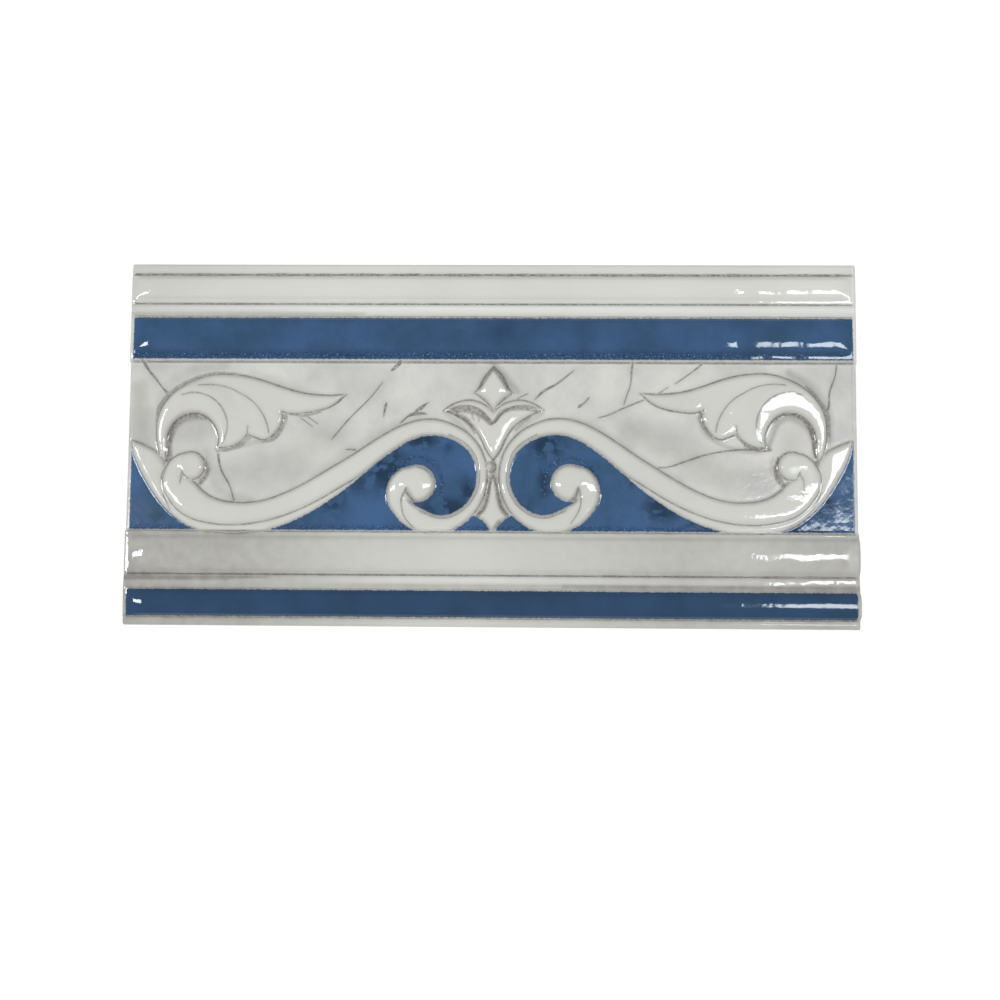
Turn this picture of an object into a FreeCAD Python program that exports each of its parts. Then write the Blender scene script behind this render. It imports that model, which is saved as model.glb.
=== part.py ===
"""Glazed ceramic border tile, 200 x 100 mm, pressed and fired in one piece.

Straight mouldings run along both long edges: a grey roll, a cove and a blue
band above, and a grey band, a cove and a narrower blue band below. Between
them lies a flat frieze with a raised scroll ornament, the same on both sides
of a small flower: an S-shaped stem that ends in a large and a small volute,
a bevel below it that runs out into a corner leaf, and an acanthus leaf.

Frame: X along the tile, +Y towards its upper edge, +Z out of the glazed face.
The origin is the middle of the back, which lies on the bed. Millimetres.
"""

import FreeCAD, Part
import math
import os

Vector = FreeCAD.Vector

# Outer size and the widths of the mouldings, from the upper edge down.
tile_length = 200.0
upper_margin = 2.9
groove_width = 0.6
upper_roll_width = 7.6
upper_cove_width = 3.3
upper_blue_width = 11.7
upper_lip_width = 0.7
frieze_width = 47.0
lower_lip_width = 0.8
lower_band_width = 10.5
lower_cove_width = 3.6
lower_blue_width = 7.7
lower_margin = 1.8

# Heights above the back.
frieze_z = 7.0
margin_z = 7.7
lip_z = 7.9
foot_z = 7.9
upper_roll_rise = 1.2
upper_blue_rise = 1.9
lower_band_rise = 1.0
lower_blue_rise = 1.5
cove_depth = 0.3
groove_depth = 0.4

# Rounding of the long edges and of the two ends.
long_edge_radius = 1.1
end_radius = 3.6

# Keying recesses in the back.
key_count = 7
key_width = 6.0
key_pitch = 12.5
key_depth = 0.9
key_end_margin = 9.0

# Relief of the ornament above the frieze, and how deep its root is buried.
root = 0.8
stem_wall = 0.7
stem_crown = 0.8
bevel_wall = 0.35
bevel_crown = 0.45
leaf_wall = 0.6
leaf_crown = 0.6
flower_wall = 0.5
flower_crown = 1.0
lobe_step = 0.08
full_width = 1.2
flat_share = 0.45
volute_eye_radius = 5.2
volute_eye_rise = 1.1
curl_eye_radius = 3.9
curl_eye_rise = 0.9
eye_wall = 1.0

# The ornament was drawn for a frieze of this size, and is fitted to the tile's.
drawn_length = 200.0
drawn_frieze = 47.0
drawn_middle = -0.9

tile_width = sum([
    upper_margin, groove_width, upper_roll_width, groove_width, upper_cove_width,
    upper_blue_width, upper_lip_width, frieze_width, lower_lip_width,
    lower_band_width, groove_width, lower_cove_width, lower_blue_width,
    groove_width, lower_margin,
])

# Each raised form is a spine of (x, y, half width), in the right half of the
# frieze, with y from the middle of the tile.
stem = [
    (81.5, -3.2, 0.9), (85.0, -4.6, 1.7), (87.1, -7.8, 2.4), (86.9, -10.6, 3.2),
    (84.4, -13.3, 4.2), (81.0, -16.4, 4.1), (76.2, -18.4, 3.5), (70.0, -19.2, 3.1),
    (62.8, -18.5, 2.85), (56.4, -16.5, 2.9), (49.0, -12.9, 3.0), (42.4, -8.9, 3.0),
    (37.7, -6.0, 3.0), (33.2, -2.6, 2.7), (28.6, 0.6, 2.5), (23.2, 3.5, 2.3),
    (17.3, 4.7, 2.2), (11.3, 3.4, 1.9), (6.7, 0.4, 1.65), (3.9, -3.9, 1.45),
    (3.0, -9.0, 1.4), (4.2, -14.6, 1.5), (8.1, -19.6, 1.8), (14.1, -22.0, 2.3),
    (20.3, -20.7, 2.9), (24.9, -17.2, 2.7), (26.6, -13.0, 2.45), (24.9, -8.9, 1.9),
    (21.6, -7.2, 1.3),
]
bevel = [
    (98.6, 0.8, 0.15), (96.0, -2.3, 2.3), (93.2, -5.6, 3.4), (91.0, -10.8, 2.6),
    (88.5, -15.3, 1.9), (84.8, -18.9, 1.8), (80.3, -21.5, 1.8), (74.0, -22.8, 1.7),
    (67.0, -22.8, 1.7), (60.2, -21.5, 1.6), (53.0, -18.7, 1.5), (46.6, -15.1, 1.3),
    (41.2, -11.6, 1.0), (37.2, -8.9, 0.5),
]
leaf_hook = [
    (89.0, -5.2, 0.7), (90.2, -2.0, 1.2), (90.5, 1.5, 1.4), (89.9, 4.6, 2.0),
    (87.5, 9.0, 2.9), (82.5, 11.1, 2.9), (77.7, 9.6, 2.6), (74.9, 6.1, 2.1),
    (73.9, 2.6, 1.5), (75.2, -1.0, 0.2),
]
leaf_inner_lobe = [
    (80.5, 13.2, 1.2), (74.4, 11.2, 2.6), (70.6, 7.0, 3.2), (70.2, 2.8, 2.9),
    (72.6, -0.9, 0.6),
]
leaf_middle_lobe = [
    (79.0, 14.6, 1.0), (72.5, 13.0, 2.0), (67.8, 9.9, 2.4), (65.0, 6.2, 2.5),
    (64.0, 3.2, 2.1), (62.8, 0.9, 0.4),
]
leaf_outer_lobe = [
    (72.0, 14.8, 1.4), (65.5, 12.3, 2.4), (61.5, 9.2, 2.7), (60.2, 5.8, 1.9),
    (60.8, 3.0, 1.3), (62.2, 0.9, 0.25),
]
leaf_long_lobe = [
    (90.5, 4.0, 1.2), (89.0, 10.0, 1.9), (85.5, 13.9, 2.2), (80.8, 16.1, 2.3),
    (75.0, 16.8, 2.6), (69.0, 16.0, 3.0), (62.5, 13.9, 3.3), (56.5, 12.2, 3.1),
    (51.0, 11.7, 2.5), (46.5, 12.0, 1.8), (43.0, 12.9, 1.0), (40.3, 13.9, 0.15),
]
flower_leaf = [
    (13.9, 9.4, 0.15), (10.9, 9.9, 1.3), (7.8, 9.4, 2.5), (4.4, 7.2, 3.4),
    (2.0, 3.4, 2.7), (0.8, -0.2, 1.6), (0.2, -4.2, 0.4),
]
# Forms on the middle line: their spines run straight down it.
flower_bud = [
    (0.0, 21.4, 0.15), (0.0, 19.0, 1.9), (0.0, 16.5, 3.4), (0.0, 14.1, 5.0),
    (0.0, 12.6, 3.1), (0.0, 11.0, 1.5), (0.0, 9.3, 0.4),
]
flower_collar = [
    (0.0, -3.9, 0.9), (0.0, -4.9, 1.6), (0.0, -6.4, 1.2), (0.0, -7.9, 1.6),
    (0.0, -9.0, 0.9),
]
flower_drop = [
    (0.0, -8.6, 0.5), (0.0, -12.0, 1.6), (0.0, -15.5, 2.7), (0.0, -19.0, 4.7),
    (0.0, -20.6, 2.6), (0.0, -22.2, 1.1), (0.0, -23.9, 0.15),
]
volute_eye = (20.9, -10.8)
curl_eye = (82.0, -6.1)


def fitted(x, y):
    """A point of the drawn ornament, moved to the tile's own frieze."""
    middle = tile_width / 2 - (
        upper_margin + 2 * groove_width + upper_roll_width + upper_cove_width
        + upper_blue_width + upper_lip_width + frieze_width / 2)
    along = x * tile_length / drawn_length
    across = middle + (y - drawn_middle) * frieze_width / drawn_frieze
    return along, across


def moulding_edges():
    """The upper outline of the section in the YZ plane, from +Y to -Y."""
    edges = []
    at = [tile_width / 2, margin_z - long_edge_radius]

    def corner(y, z):
        return Vector(0, y, z)

    def line_to(y, z):
        edges.append(Part.makeLine(corner(*at), corner(y, z)))
        at[:] = [y, z]

    def arc_to(y, z, bulge):
        """A shallow arc whose middle lies off its chord by bulge."""
        middle = corner((at[0] + y) / 2, (at[1] + z) / 2 + bulge)
        edges.append(Part.Arc(corner(*at), middle, corner(y, z)).toShape())
        at[:] = [y, z]

    def groove():
        line_to(at[0] - groove_width / 2, foot_z - groove_depth)
        line_to(at[0] - groove_width / 2, foot_z)

    rounded = long_edge_radius * math.sin(math.radians(45))
    edges.append(Part.Arc(
        corner(*at),
        corner(at[0] - long_edge_radius + rounded, at[1] + rounded),
        corner(at[0] - long_edge_radius, margin_z)).toShape())
    at[:] = [at[0] - long_edge_radius, margin_z]
    line_to(tile_width / 2 - upper_margin, margin_z)
    groove()
    arc_to(at[0] - upper_roll_width, foot_z, upper_roll_rise)
    groove()
    arc_to(at[0] - upper_cove_width, foot_z, -cove_depth)
    arc_to(at[0] - upper_blue_width, lip_z, upper_blue_rise)
    line_to(at[0] - upper_lip_width, lip_z)
    line_to(at[0], frieze_z)
    line_to(at[0] - frieze_width, frieze_z)
    line_to(at[0], lip_z)
    line_to(at[0] - lower_lip_width, lip_z)
    arc_to(at[0] - lower_band_width, foot_z, lower_band_rise)
    groove()
    arc_to(at[0] - lower_cove_width, foot_z, -cove_depth)
    arc_to(at[0] - lower_blue_width, foot_z, lower_blue_rise)
    groove()
    line_to(long_edge_radius - tile_width / 2, margin_z)
    edges.append(Part.Arc(
        corner(*at),
        corner(at[0] - rounded, margin_z - long_edge_radius + rounded),
        corner(-tile_width / 2, margin_z - long_edge_radius)).toShape())
    at[:] = [-tile_width / 2, margin_z - long_edge_radius]
    return edges, at


def moulded_slab():
    """The tile without its ornament: the section drawn along the length."""
    edges, at = moulding_edges()
    low, high = Vector(0, -tile_width / 2, 0), Vector(0, tile_width / 2, 0)
    top_of_side = margin_z - long_edge_radius
    edges.append(Part.makeLine(Vector(0, *at), low))
    edges.append(Part.makeLine(low, high))
    edges.append(Part.makeLine(high, Vector(0, tile_width / 2, top_of_side)))
    section = Part.Face(Part.Wire(edges))
    section.translate(Vector(-tile_length / 2, 0, 0))
    slab = section.extrude(Vector(tile_length, 0, 0))
    return slab.common(end_form())


def end_form():
    """The side view that both ends are pressed to, drawn across the width."""
    crest = foot_z + upper_blue_rise
    half = tile_length / 2
    shoulder = crest - end_radius
    turn = end_radius * math.sin(math.radians(45))

    def rounded_end(side):
        middle = Vector(side * (half - end_radius + turn), 0, shoulder + turn)
        end = Vector(side * (half - end_radius), 0, crest)
        start = Vector(side * half, 0, shoulder)
        return Part.Arc(start, middle, end).toShape(), start, end

    right, right_start, right_end = rounded_end(1)
    left, left_start, left_end = rounded_end(-1)
    outline = Part.Wire([
        Part.makeLine(Vector(-half, 0, 0), Vector(half, 0, 0)),
        Part.makeLine(Vector(half, 0, 0), right_start),
        right,
        Part.makeLine(right_end, left_end),
        left,
        Part.makeLine(left_start, Vector(-half, 0, 0)),
    ])
    form = Part.Face(outline)
    form.translate(Vector(0, -tile_width / 2, 0))
    return form.extrude(Vector(0, tile_width, 0))


def ridge(stations, wall, crown, keeled=False):
    """A raised form with upright walls and a crowned top along its spine.

    The sections stand square to the spine. A keeled form comes to an edge
    along its spine, and any other has a flat crown between two slopes.
    Towards a tip, where the form is narrower than full_width on each side,
    wall and crown shrink with it.
    """
    centres = [Vector(*fitted(x, y), 0) for x, y, _ in stations]
    spine = Part.BSplineCurve()
    spine.interpolate(centres)
    sections = []
    for centre, (_, _, half) in zip(centres, stations):
        tangent = spine.tangent(spine.parameter(centre))[0]
        across = Vector(-tangent.y, tangent.x, 0) * half
        share = min(1.0, half / full_width)
        low = Vector(0, 0, frieze_z - root)
        side = Vector(0, 0, frieze_z + wall * share)
        top = side + Vector(0, 0, crown * share)
        flat = 0 if keeled else flat_share
        corners = [centre + across + low, centre + across + side, centre + across * flat + top]
        if not keeled:
            corners.append(centre - across * flat + top)
        corners += [centre - across + side, centre - across + low]
        sections.append(Part.makePolygon(corners + corners[:1]))
    return Part.makeLoft(sections, True, keeled)


def eye(centre, radius, rise):
    """The round boss at the heart of a volute: a turned, domed button."""
    low = frieze_z - root
    shoulder = frieze_z + eye_wall
    sphere = (radius ** 2 + rise ** 2) / (2 * rise)
    half_way = math.asin(radius / sphere) / 2
    middle = Vector(
        sphere * math.sin(half_way), 0,
        shoulder + rise - sphere * (1 - math.cos(half_way)))
    outline = Part.Wire([
        Part.makeLine(Vector(0, 0, low), Vector(radius, 0, low)),
        Part.makeLine(Vector(radius, 0, low), Vector(radius, 0, shoulder)),
        Part.Arc(Vector(radius, 0, shoulder), middle, Vector(0, 0, shoulder + rise)).toShape(),
        Part.makeLine(Vector(0, 0, shoulder + rise), Vector(0, 0, low)),
    ])
    button = Part.Face(outline).revolve(Vector(0, 0, 0), Vector(0, 0, 1), 360)
    button.translate(Vector(*fitted(*centre), 0))
    return button


def half_ornament():
    """The raised forms on the right of the middle line."""
    leaves = [
        leaf_long_lobe, leaf_outer_lobe, leaf_middle_lobe, leaf_inner_lobe, leaf_hook,
    ]
    forms = [ridge(bevel, bevel_wall, bevel_crown), ridge(stem, stem_wall, stem_crown)]
    for order, lobe in enumerate(leaves):
        forms.append(ridge(lobe, leaf_wall + order * lobe_step, leaf_crown))
    forms.append(ridge(flower_leaf, flower_wall, flower_crown))
    forms.append(eye(volute_eye, volute_eye_radius, volute_eye_rise))
    forms.append(eye(curl_eye, curl_eye_radius, curl_eye_rise))
    return forms


def ornament():
    """All raised forms: one half, its mirror image and the flower between."""
    right = half_ornament()
    left = [form.mirror(Vector(0, 0, 0), Vector(1, 0, 0)) for form in right]
    middle = [
        ridge(flower_bud, flower_wall, flower_crown, keeled=True),
        ridge(flower_collar, flower_wall, flower_crown),
        ridge(flower_drop, flower_wall, flower_crown, keeled=True),
    ]
    return right + left + middle


def keying_recesses():
    """Shallow channels that the adhesive keys into, closed at both ends."""
    length = tile_length - 2 * key_end_margin
    first = -key_pitch * (key_count - 1) / 2
    return [
        Part.makeBox(
            length, key_width, key_depth,
            Vector(-length / 2, first + row * key_pitch - key_width / 2, 0))
        for row in range(key_count)
    ]


def border_tile():
    tile = moulded_slab().fuse(ornament())
    tile = tile.cut(keying_recesses())
    return tile.removeSplitter()


if __name__ == "__main__":
    os.makedirs("parts", exist_ok=True)
    tile = border_tile()
    solids = tile.Solids
    print("solids", len(solids), "valid", tile.isValid(), "volume cm3", round(tile.Volume / 1000, 2))
    solids[0].exportStep("parts/border_tile.step")
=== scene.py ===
# %% [markdown]
# # A glazed border tile with a raised scroll
#
# The object is one ceramic tile, 200 x 100 mm: straight mouldings along both long edges and, between them,
# a frieze with a raised scroll, an acanthus leaf and a small flower. It is pressed in a die, painted with
# grey line and blue glaze, and fired as one piece. This notebook rebuilds its face as one fine mesh whose
# points are raised as the die raised the clay, and gives it one glaze that reads where each colour lies
# from values stored on the mesh.
#
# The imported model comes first. It fixes the size and the place of everything below.

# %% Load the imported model
import math

import bmesh
import bpy
import numpy as np
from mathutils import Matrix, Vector, noise


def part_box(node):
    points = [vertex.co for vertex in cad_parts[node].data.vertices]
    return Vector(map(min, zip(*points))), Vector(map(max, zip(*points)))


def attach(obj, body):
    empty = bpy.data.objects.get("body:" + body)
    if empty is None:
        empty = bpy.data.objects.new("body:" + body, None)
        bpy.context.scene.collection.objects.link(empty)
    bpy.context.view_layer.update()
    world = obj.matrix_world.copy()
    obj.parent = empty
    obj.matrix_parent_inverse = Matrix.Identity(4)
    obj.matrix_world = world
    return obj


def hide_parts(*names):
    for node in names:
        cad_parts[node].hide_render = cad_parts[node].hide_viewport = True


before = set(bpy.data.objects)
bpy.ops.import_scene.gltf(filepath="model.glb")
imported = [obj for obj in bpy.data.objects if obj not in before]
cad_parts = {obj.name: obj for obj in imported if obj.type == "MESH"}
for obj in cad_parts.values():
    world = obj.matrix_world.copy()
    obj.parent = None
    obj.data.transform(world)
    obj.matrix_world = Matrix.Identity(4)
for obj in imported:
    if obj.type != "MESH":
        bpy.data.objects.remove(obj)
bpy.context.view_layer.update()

mm = 0.001
_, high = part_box("border_tile")
half_length = high.x / mm
half_width = high.y / mm
print("tile", round(2 * half_length, 2), "x", round(2 * half_width, 2), "x", round(high.z / mm, 2), "mm")

# %% [markdown]
# ## The section of the mouldings
#
# A border tile is designed as a section: seen from its end, the upper edge has a flat margin, a roll, a
# hollow and a wide blue band, and the lower edge a grey band, a hollow, a narrower blue band and a margin.
# The section could be a curve that is swept along the tile. Here it is a list of places across the tile,
# each with its height, because the same places become the rows of the mesh: a row lies on every groove and
# every edge, so that none of them is cut by a face.

# %% Widths of the mouldings, from the upper edge down
upper_margin = 2.9
groove = 0.6
upper_roll = 7.6
upper_cove = 3.3
upper_blue = 11.7
upper_lip = 0.7
frieze = 47.0
lower_lip = 0.8
lower_band = 10.5
lower_cove = 3.6
lower_blue = 7.7

bands = (
    upper_margin, upper_roll, upper_cove, upper_blue, upper_lip, frieze,
    lower_lip, lower_band, lower_cove, lower_blue)
print("left for the lower margin:", round(2 * half_width - sum(bands) - 4 * groove, 2), "mm")

# %% Heights above the back, and the small rises from them
frieze_z = 7.0
margin_z = 7.7
foot_z = 7.9
groove_depth = 0.4
upper_cove_depth = 0.06
roll_foot_rise = 0.1
blue_foot_rise = 0.13
cove_rise = 0.03
cove_end_rise = 0.3
print("the frieze lies", round(foot_z - frieze_z, 2), "mm below the feet of the mouldings")

# %% Rows over a flat, a hollow or a roll
shoulder_run = 1.3
crowding = 0.6
section = []
levels = {}


def reach(width, z, steps=1, hollow=0.0):
    """Add rows over the next width of the section, up to height z, with a hollow between."""
    from_y, from_z, _ = section[-1]
    for step in range(1, steps + 1):
        share = step / steps
        dip = hollow * (1 - (2 * share - 1) ** 2)
        section.append((from_y - width * share, from_z + (z - from_z) * share - dip, 0.0))


def roll(width, z, steps, shoulder, arch, tilt):
    """Add the rows of a roll down to height z: steep shoulders and a gently arched top that tilts."""
    from_y, from_z, _ = section[-1]
    for step in range(1, steps + 1):
        even = step / steps
        share = even - crowding * math.sin(2 * math.pi * even) / (2 * math.pi)
        climb = min(min(share, 1 - share) * width / shoulder_run, 1.0)
        across = 2 * share - 1
        top = shoulder + arch * (1 - across ** 2) - tilt * across
        stand = top * climb ** 2 * (3 - 2 * climb)
        section.append((from_y - width * share, from_z + (z - from_z) * share, stand))


# %% Lay out the rows, from the upper edge down
edge_radius = 1.1
roll_apron = 0.6
blue_apron = 1.2
cove_flat = 1.7
frieze_wall = 0.3
frieze_step = 0.45


def rounded_edge(side, turns):
    """Add rows over the quarter round between a side and the margin."""
    for turn in turns:
        angle = math.radians(turn)
        y = half_width - edge_radius * (1 - math.cos(angle))
        z = margin_z - edge_radius * (1 - math.sin(angle))
        section.append((side * y, z, 0.0))


rounded_edge(1, (0, 30, 60, 90))
reach(upper_margin - edge_radius, margin_z, 2)
levels["upper_groove"] = section[-1][0] - groove / 2
reach(groove / 2, margin_z)
reach(groove / 2, foot_z)
roll(upper_roll - roll_apron, foot_z + roll_foot_rise, 13, shoulder=0.85, arch=0.25, tilt=0.365)
reach(roll_apron, foot_z, 3, hollow=0.01)
levels["roll_groove"] = section[-1][0] - groove / 2
reach(groove / 2, foot_z - groove_depth)
reach(groove / 2, foot_z)
reach(upper_cove, foot_z, 4, upper_cove_depth)
levels["upper_blue_top"] = section[-1][0]
roll(upper_blue - blue_apron, foot_z + blue_foot_rise, 18, shoulder=0.8, arch=0.9, tilt=-0.08)
reach(blue_apron, foot_z, 4, hollow=0.02)
levels["upper_blue_foot"] = section[-1][0]
reach(upper_lip, foot_z, 2)
reach(frieze_wall, frieze_z)
levels["frieze_top"] = section[-1][0] + frieze_wall / 2
frieze_ground = frieze - 2 * frieze_wall
frieze_rows = round(frieze_ground / frieze_step)
reach(frieze_ground, frieze_z, frieze_rows)
levels["frieze_foot"] = section[-1][0] - frieze_wall / 2
reach(frieze_wall, foot_z)
reach(lower_lip, foot_z, 2)
roll(lower_band, foot_z, 16, shoulder=0.45, arch=0.75, tilt=0.05)
levels["band_groove"] = section[-1][0] - groove / 2
reach(groove / 2, foot_z - groove_depth)
reach(groove / 2, foot_z)
reach(cove_flat, foot_z + cove_rise, 3)
reach(lower_cove - cove_flat, foot_z + cove_end_rise, 3)
levels["lower_blue_top"] = section[-1][0]
roll(lower_blue, foot_z, 12, shoulder=0.9, arch=0.62, tilt=-0.155)
levels["lower_blue_foot"] = section[-1][0]
reach(groove / 2, foot_z - groove_depth)
reach(groove / 2, margin_z)
rounded_edge(-1, (90, 60, 30, 0))
rows_y, rows_z, rows_stand = np.array(section).T
print(len(section), "rows,", frieze_rows, "of them in the frieze")
print("levels in mm:", {name: round(y, 2) for name, y in levels.items()})

# %% [markdown]
# ## The blank face
#
# `create_grid` makes a sheet of square faces. Its points are then moved to the rows of the section and to
# columns along the tile, with closer columns near the ends, where the pressed face turns down.

# %% Make the sheet and press the section into it
column_step = 0.45
end_reach = 6.0
end_count = 18
end_crowding = 1.25
end_columns = half_length - end_reach * np.linspace(1, 0, end_count) ** end_crowding
inner_columns = np.linspace(-end_columns[0], end_columns[0], round(2 * end_columns[0] / column_step) + 1)
columns_x = np.concatenate([-end_columns[:0:-1], inner_columns, end_columns[1:]])

face = bmesh.new()
bmesh.ops.create_grid(face, x_segments=len(columns_x) - 1, y_segments=len(rows_y) - 1, size=1.0)
mesh = bpy.data.meshes.new("glazed_border_tile")
face.to_mesh(mesh)
face.free()
grid_x = np.tile(columns_x, len(rows_y))
grid_y = np.repeat(rows_y[::-1], len(columns_x))
grid_z = np.repeat(rows_z[::-1], len(columns_x))
grid_stand = np.repeat(rows_stand[::-1], len(columns_x))
assert len(mesh.vertices) == len(grid_x)
print(len(mesh.vertices), "points in", len(rows_y), "rows and", len(columns_x), "columns")

# %% [markdown]
# ## Drawing on clay
#
# The ornament is drawn with lines through a few listed points. Blender's own Bezier curve with
# automatic handles turns evenly between them, so the points are given to a curve and read back closer
# together. A third number, where a point has one, is the half width of the form or brush there, and rides
# along as the curve's height.
#
# `measure` then asks, for every point of the mesh, how far the nearest place of such a line is and on
# which side it lies. Distances are what everything else is made from: a wall rises a set distance inside
# an outline, pigment lies within a set distance of a line, and an edge of colour stays crisp between two
# mesh points, because a distance changes evenly from one to the next.


# %% An evenly turning line through a few points
def smooth_line(points, fineness=6):
    """An evenly turning line through the points, as rows of x, y and half width."""
    curve = bpy.data.curves.new("guide", "CURVE")
    curve.dimensions = "3D"
    curve.resolution_u = fineness
    spline = curve.splines.new("BEZIER")
    spline.bezier_points.add(len(points) - 1)
    for knot, point in zip(spline.bezier_points, points):
        knot.co = (*point, 0.0)[:3]
        knot.handle_left_type = "AUTO"
        knot.handle_right_type = "AUTO"
    guide = bpy.data.objects.new("guide", curve)
    sampled = bpy.data.meshes.new_from_object(guide)
    line = np.array([vertex.co for vertex in sampled.vertices])
    bpy.data.objects.remove(guide)
    bpy.data.curves.remove(curve)
    bpy.data.meshes.remove(sampled)
    return line


print("a line through 3 points is read back as", len(smooth_line([(0, 0), (1, 1), (2, 0)])), "points")

# %% How far each point is from a line
far_away = 99.0
batch = 4000


def measure(spots, line, margin=6.0):
    """Distance from each spot to the line, its side of it, and the half width there."""
    start, end = line[:-1, :2], line[1:, :2]
    along = end - start
    length_squared = np.maximum((along ** 2).sum(1), 1e-9)
    distance = np.full(len(spots), far_away)
    side = np.ones(len(spots))
    half = np.zeros(len(spots))
    lowest = line[:, :2].min(0) - margin
    highest = line[:, :2].max(0) + margin
    near = np.flatnonzero(((spots > lowest) & (spots < highest)).all(1))
    for part in np.array_split(near, len(near) // batch + 1):
        if not len(part):
            continue
        offset = spots[part, None, :] - start
        share = np.clip((offset * along).sum(2) / length_squared, 0, 1)
        gap = np.hypot(*np.moveaxis(offset - share[..., None] * along, 2, 0))
        nearest = gap.argmin(1)
        row = np.arange(len(part))
        distance[part] = gap[row, nearest]
        way = along[nearest]
        to_spot = offset[row, nearest]
        side[part] = np.where(way[:, 0] * to_spot[:, 1] > way[:, 1] * to_spot[:, 0], 1.0, -1.0)
        at = share[row, nearest]
        half[part] = line[nearest, 2] * (1 - at) + line[nearest + 1, 2] * at
    return distance, side, half


to_line = measure(np.array([(1.0, 2.0)]), np.array([(0.0, 0.0, 0.0), (3.0, 0.0, 0.0)]))[0]
print("a point 2 mm above a line is", to_line[0], "mm from it")


# %% Which points lie inside an outline
def within(spots, outline):
    """Which spots lie inside a closed outline, by counting the edges that each looks across."""
    inside = np.zeros(len(spots), bool)
    lowest, highest = outline.min(0), outline.max(0)
    near = np.flatnonzero(((spots > lowest) & (spots < highest)).all(1))
    x, y = spots[near].T
    crossed = np.zeros(len(near), int)
    for (ax, ay), (bx, by) in zip(outline, np.roll(outline, -1, axis=0)):
        between = (ay > y) != (by > y)
        if ay != by:
            crossed += between & (x < ax + (y - ay) * (bx - ax) / (by - ay))
    inside[near] = crossed % 2 == 1
    return inside


square = np.array([(0.0, 0.0), (1.0, 0.0), (1.0, 1.0), (0.0, 1.0)])
print("in the middle of a square, and beside it:", within(np.array([(0.5, 0.5), (2.0, 0.5)]), square))

# %% [markdown]
# ## The ornament's lines
#
# Each half of the frieze is drawn once, as the right half. The left half is its mirror image, moved by
# the small drift of the mould: the volutes sit a little to the right of the middle, and the right half a
# little higher than the left.

# %% Points of the stem, the bevel and the bosses
stem = [
    (81.5, -3.2, 0.9), (85.0, -4.6, 1.7), (87.1, -7.8, 2.4), (86.9, -10.6, 3.2),
    (84.4, -13.3, 4.2), (81.0, -16.4, 4.1), (76.2, -18.4, 3.5), (70.0, -19.2, 3.1),
    (62.8, -18.5, 2.85), (56.4, -16.5, 2.9), (49.0, -12.9, 3.0), (42.4, -8.9, 3.0),
    (37.7, -6.0, 3.0), (33.2, -2.6, 2.7), (28.6, 0.6, 2.5), (23.2, 3.5, 2.3),
    (17.3, 4.7, 2.2), (11.3, 3.4, 1.9), (6.7, 0.4, 1.65), (3.9, -3.9, 1.45),
    (3.0, -9.0, 1.4), (4.2, -14.6, 1.5), (8.1, -19.6, 1.8), (14.1, -22.0, 2.3),
    (20.3, -20.7, 2.9), (24.9, -17.2, 2.7), (26.6, -13.0, 2.45), (24.9, -8.9, 1.9),
    (21.6, -7.2, 1.3),
]
bevel = [
    (98.6, 0.8, 0.15), (96.0, -2.3, 2.3), (93.2, -5.6, 3.4), (91.0, -10.8, 2.6),
    (88.5, -15.3, 1.9), (84.8, -18.9, 1.8), (80.3, -21.5, 1.8), (74.0, -22.8, 1.7),
    (67.0, -22.8, 1.7), (60.2, -21.5, 1.6), (53.0, -18.7, 1.5), (46.6, -15.1, 1.3),
    (41.2, -11.6, 1.0), (37.2, -8.9, 0.5),
]
volute_eye = (20.9, -10.8, 5.0)
curl_eye = (82.2, -6.1, 3.9)
print(len(stem), "points along the stem and", len(bevel), "along the bevel")

# %% Outlines, veins and crest of the leaf
leaf_back = [
    (40.4, 13.8), (46.0, 13.6), (52.0, 14.2), (58.0, 15.9), (64.0, 17.9), (70.0, 19.1),
    (76.0, 19.2), (81.0, 17.9), (85.5, 15.5), (89.0, 12.2), (91.3, 7.8), (91.8, 3.0),
    (91.0, -2.2), (89.4, -5.0),
]
leaf_hook = [
    (89.4, -5.0), (88.8, -1.5), (88.7, 1.8), (87.7, 4.6), (85.5, 7.0), (82.0, 8.3),
    (79.0, 7.8), (76.6, 5.9), (75.3, 3.4), (74.8, 0.8), (75.3, -1.1),
]
leaf_inner_lobe = [(75.3, -1.1), (72.2, -1.0), (69.7, -0.1), (67.9, 1.3), (67.0, 2.6)]
leaf_middle_lobe = [(67.0, 2.6), (65.0, 1.8), (62.4, 1.1), (60.8, 1.7)]
leaf_outer_lobe = [(60.8, 1.7), (59.1, 3.4), (57.9, 5.4), (57.4, 7.2), (57.7, 9.0)]
leaf_long_lobe = [(57.7, 9.0), (55.5, 8.4), (51.5, 8.6), (47.2, 9.4), (43.6, 10.9), (40.4, 13.8)]
outer_vein = [
    (80.0, 16.0), (76.5, 16.2), (72.5, 15.5), (68.5, 13.6), (65.2, 11.3), (62.9, 8.3),
    (61.6, 5.4), (61.1, 3.2),
]
hook_vein = [
    (84.5, 13.3), (81.5, 13.9), (78.2, 13.3), (75.3, 11.6), (73.3, 9.0), (72.3, 6.0),
    (72.5, 3.0), (73.6, 0.2),
]
notch_vein = [(67.0, 2.6), (66.8, 4.7)]
hook_crest = [
    (90.2, -4.0), (90.4, 0.0), (90.3, 4.0), (89.4, 8.0), (87.4, 11.2), (84.5, 13.3), (81.5, 13.9),
    (78.2, 13.3), (75.3, 11.6), (73.3, 9.0), (72.3, 6.0), (72.5, 3.0), (73.6, 0.2), (74.6, -1.4),
]
leaf = [leaf_back, leaf_hook, leaf_inner_lobe, leaf_middle_lobe, leaf_outer_lobe, leaf_long_lobe]
print("the leaf's outline has", len(leaf), "runs and", sum(len(run) - 1 for run in leaf), "points")

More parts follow.
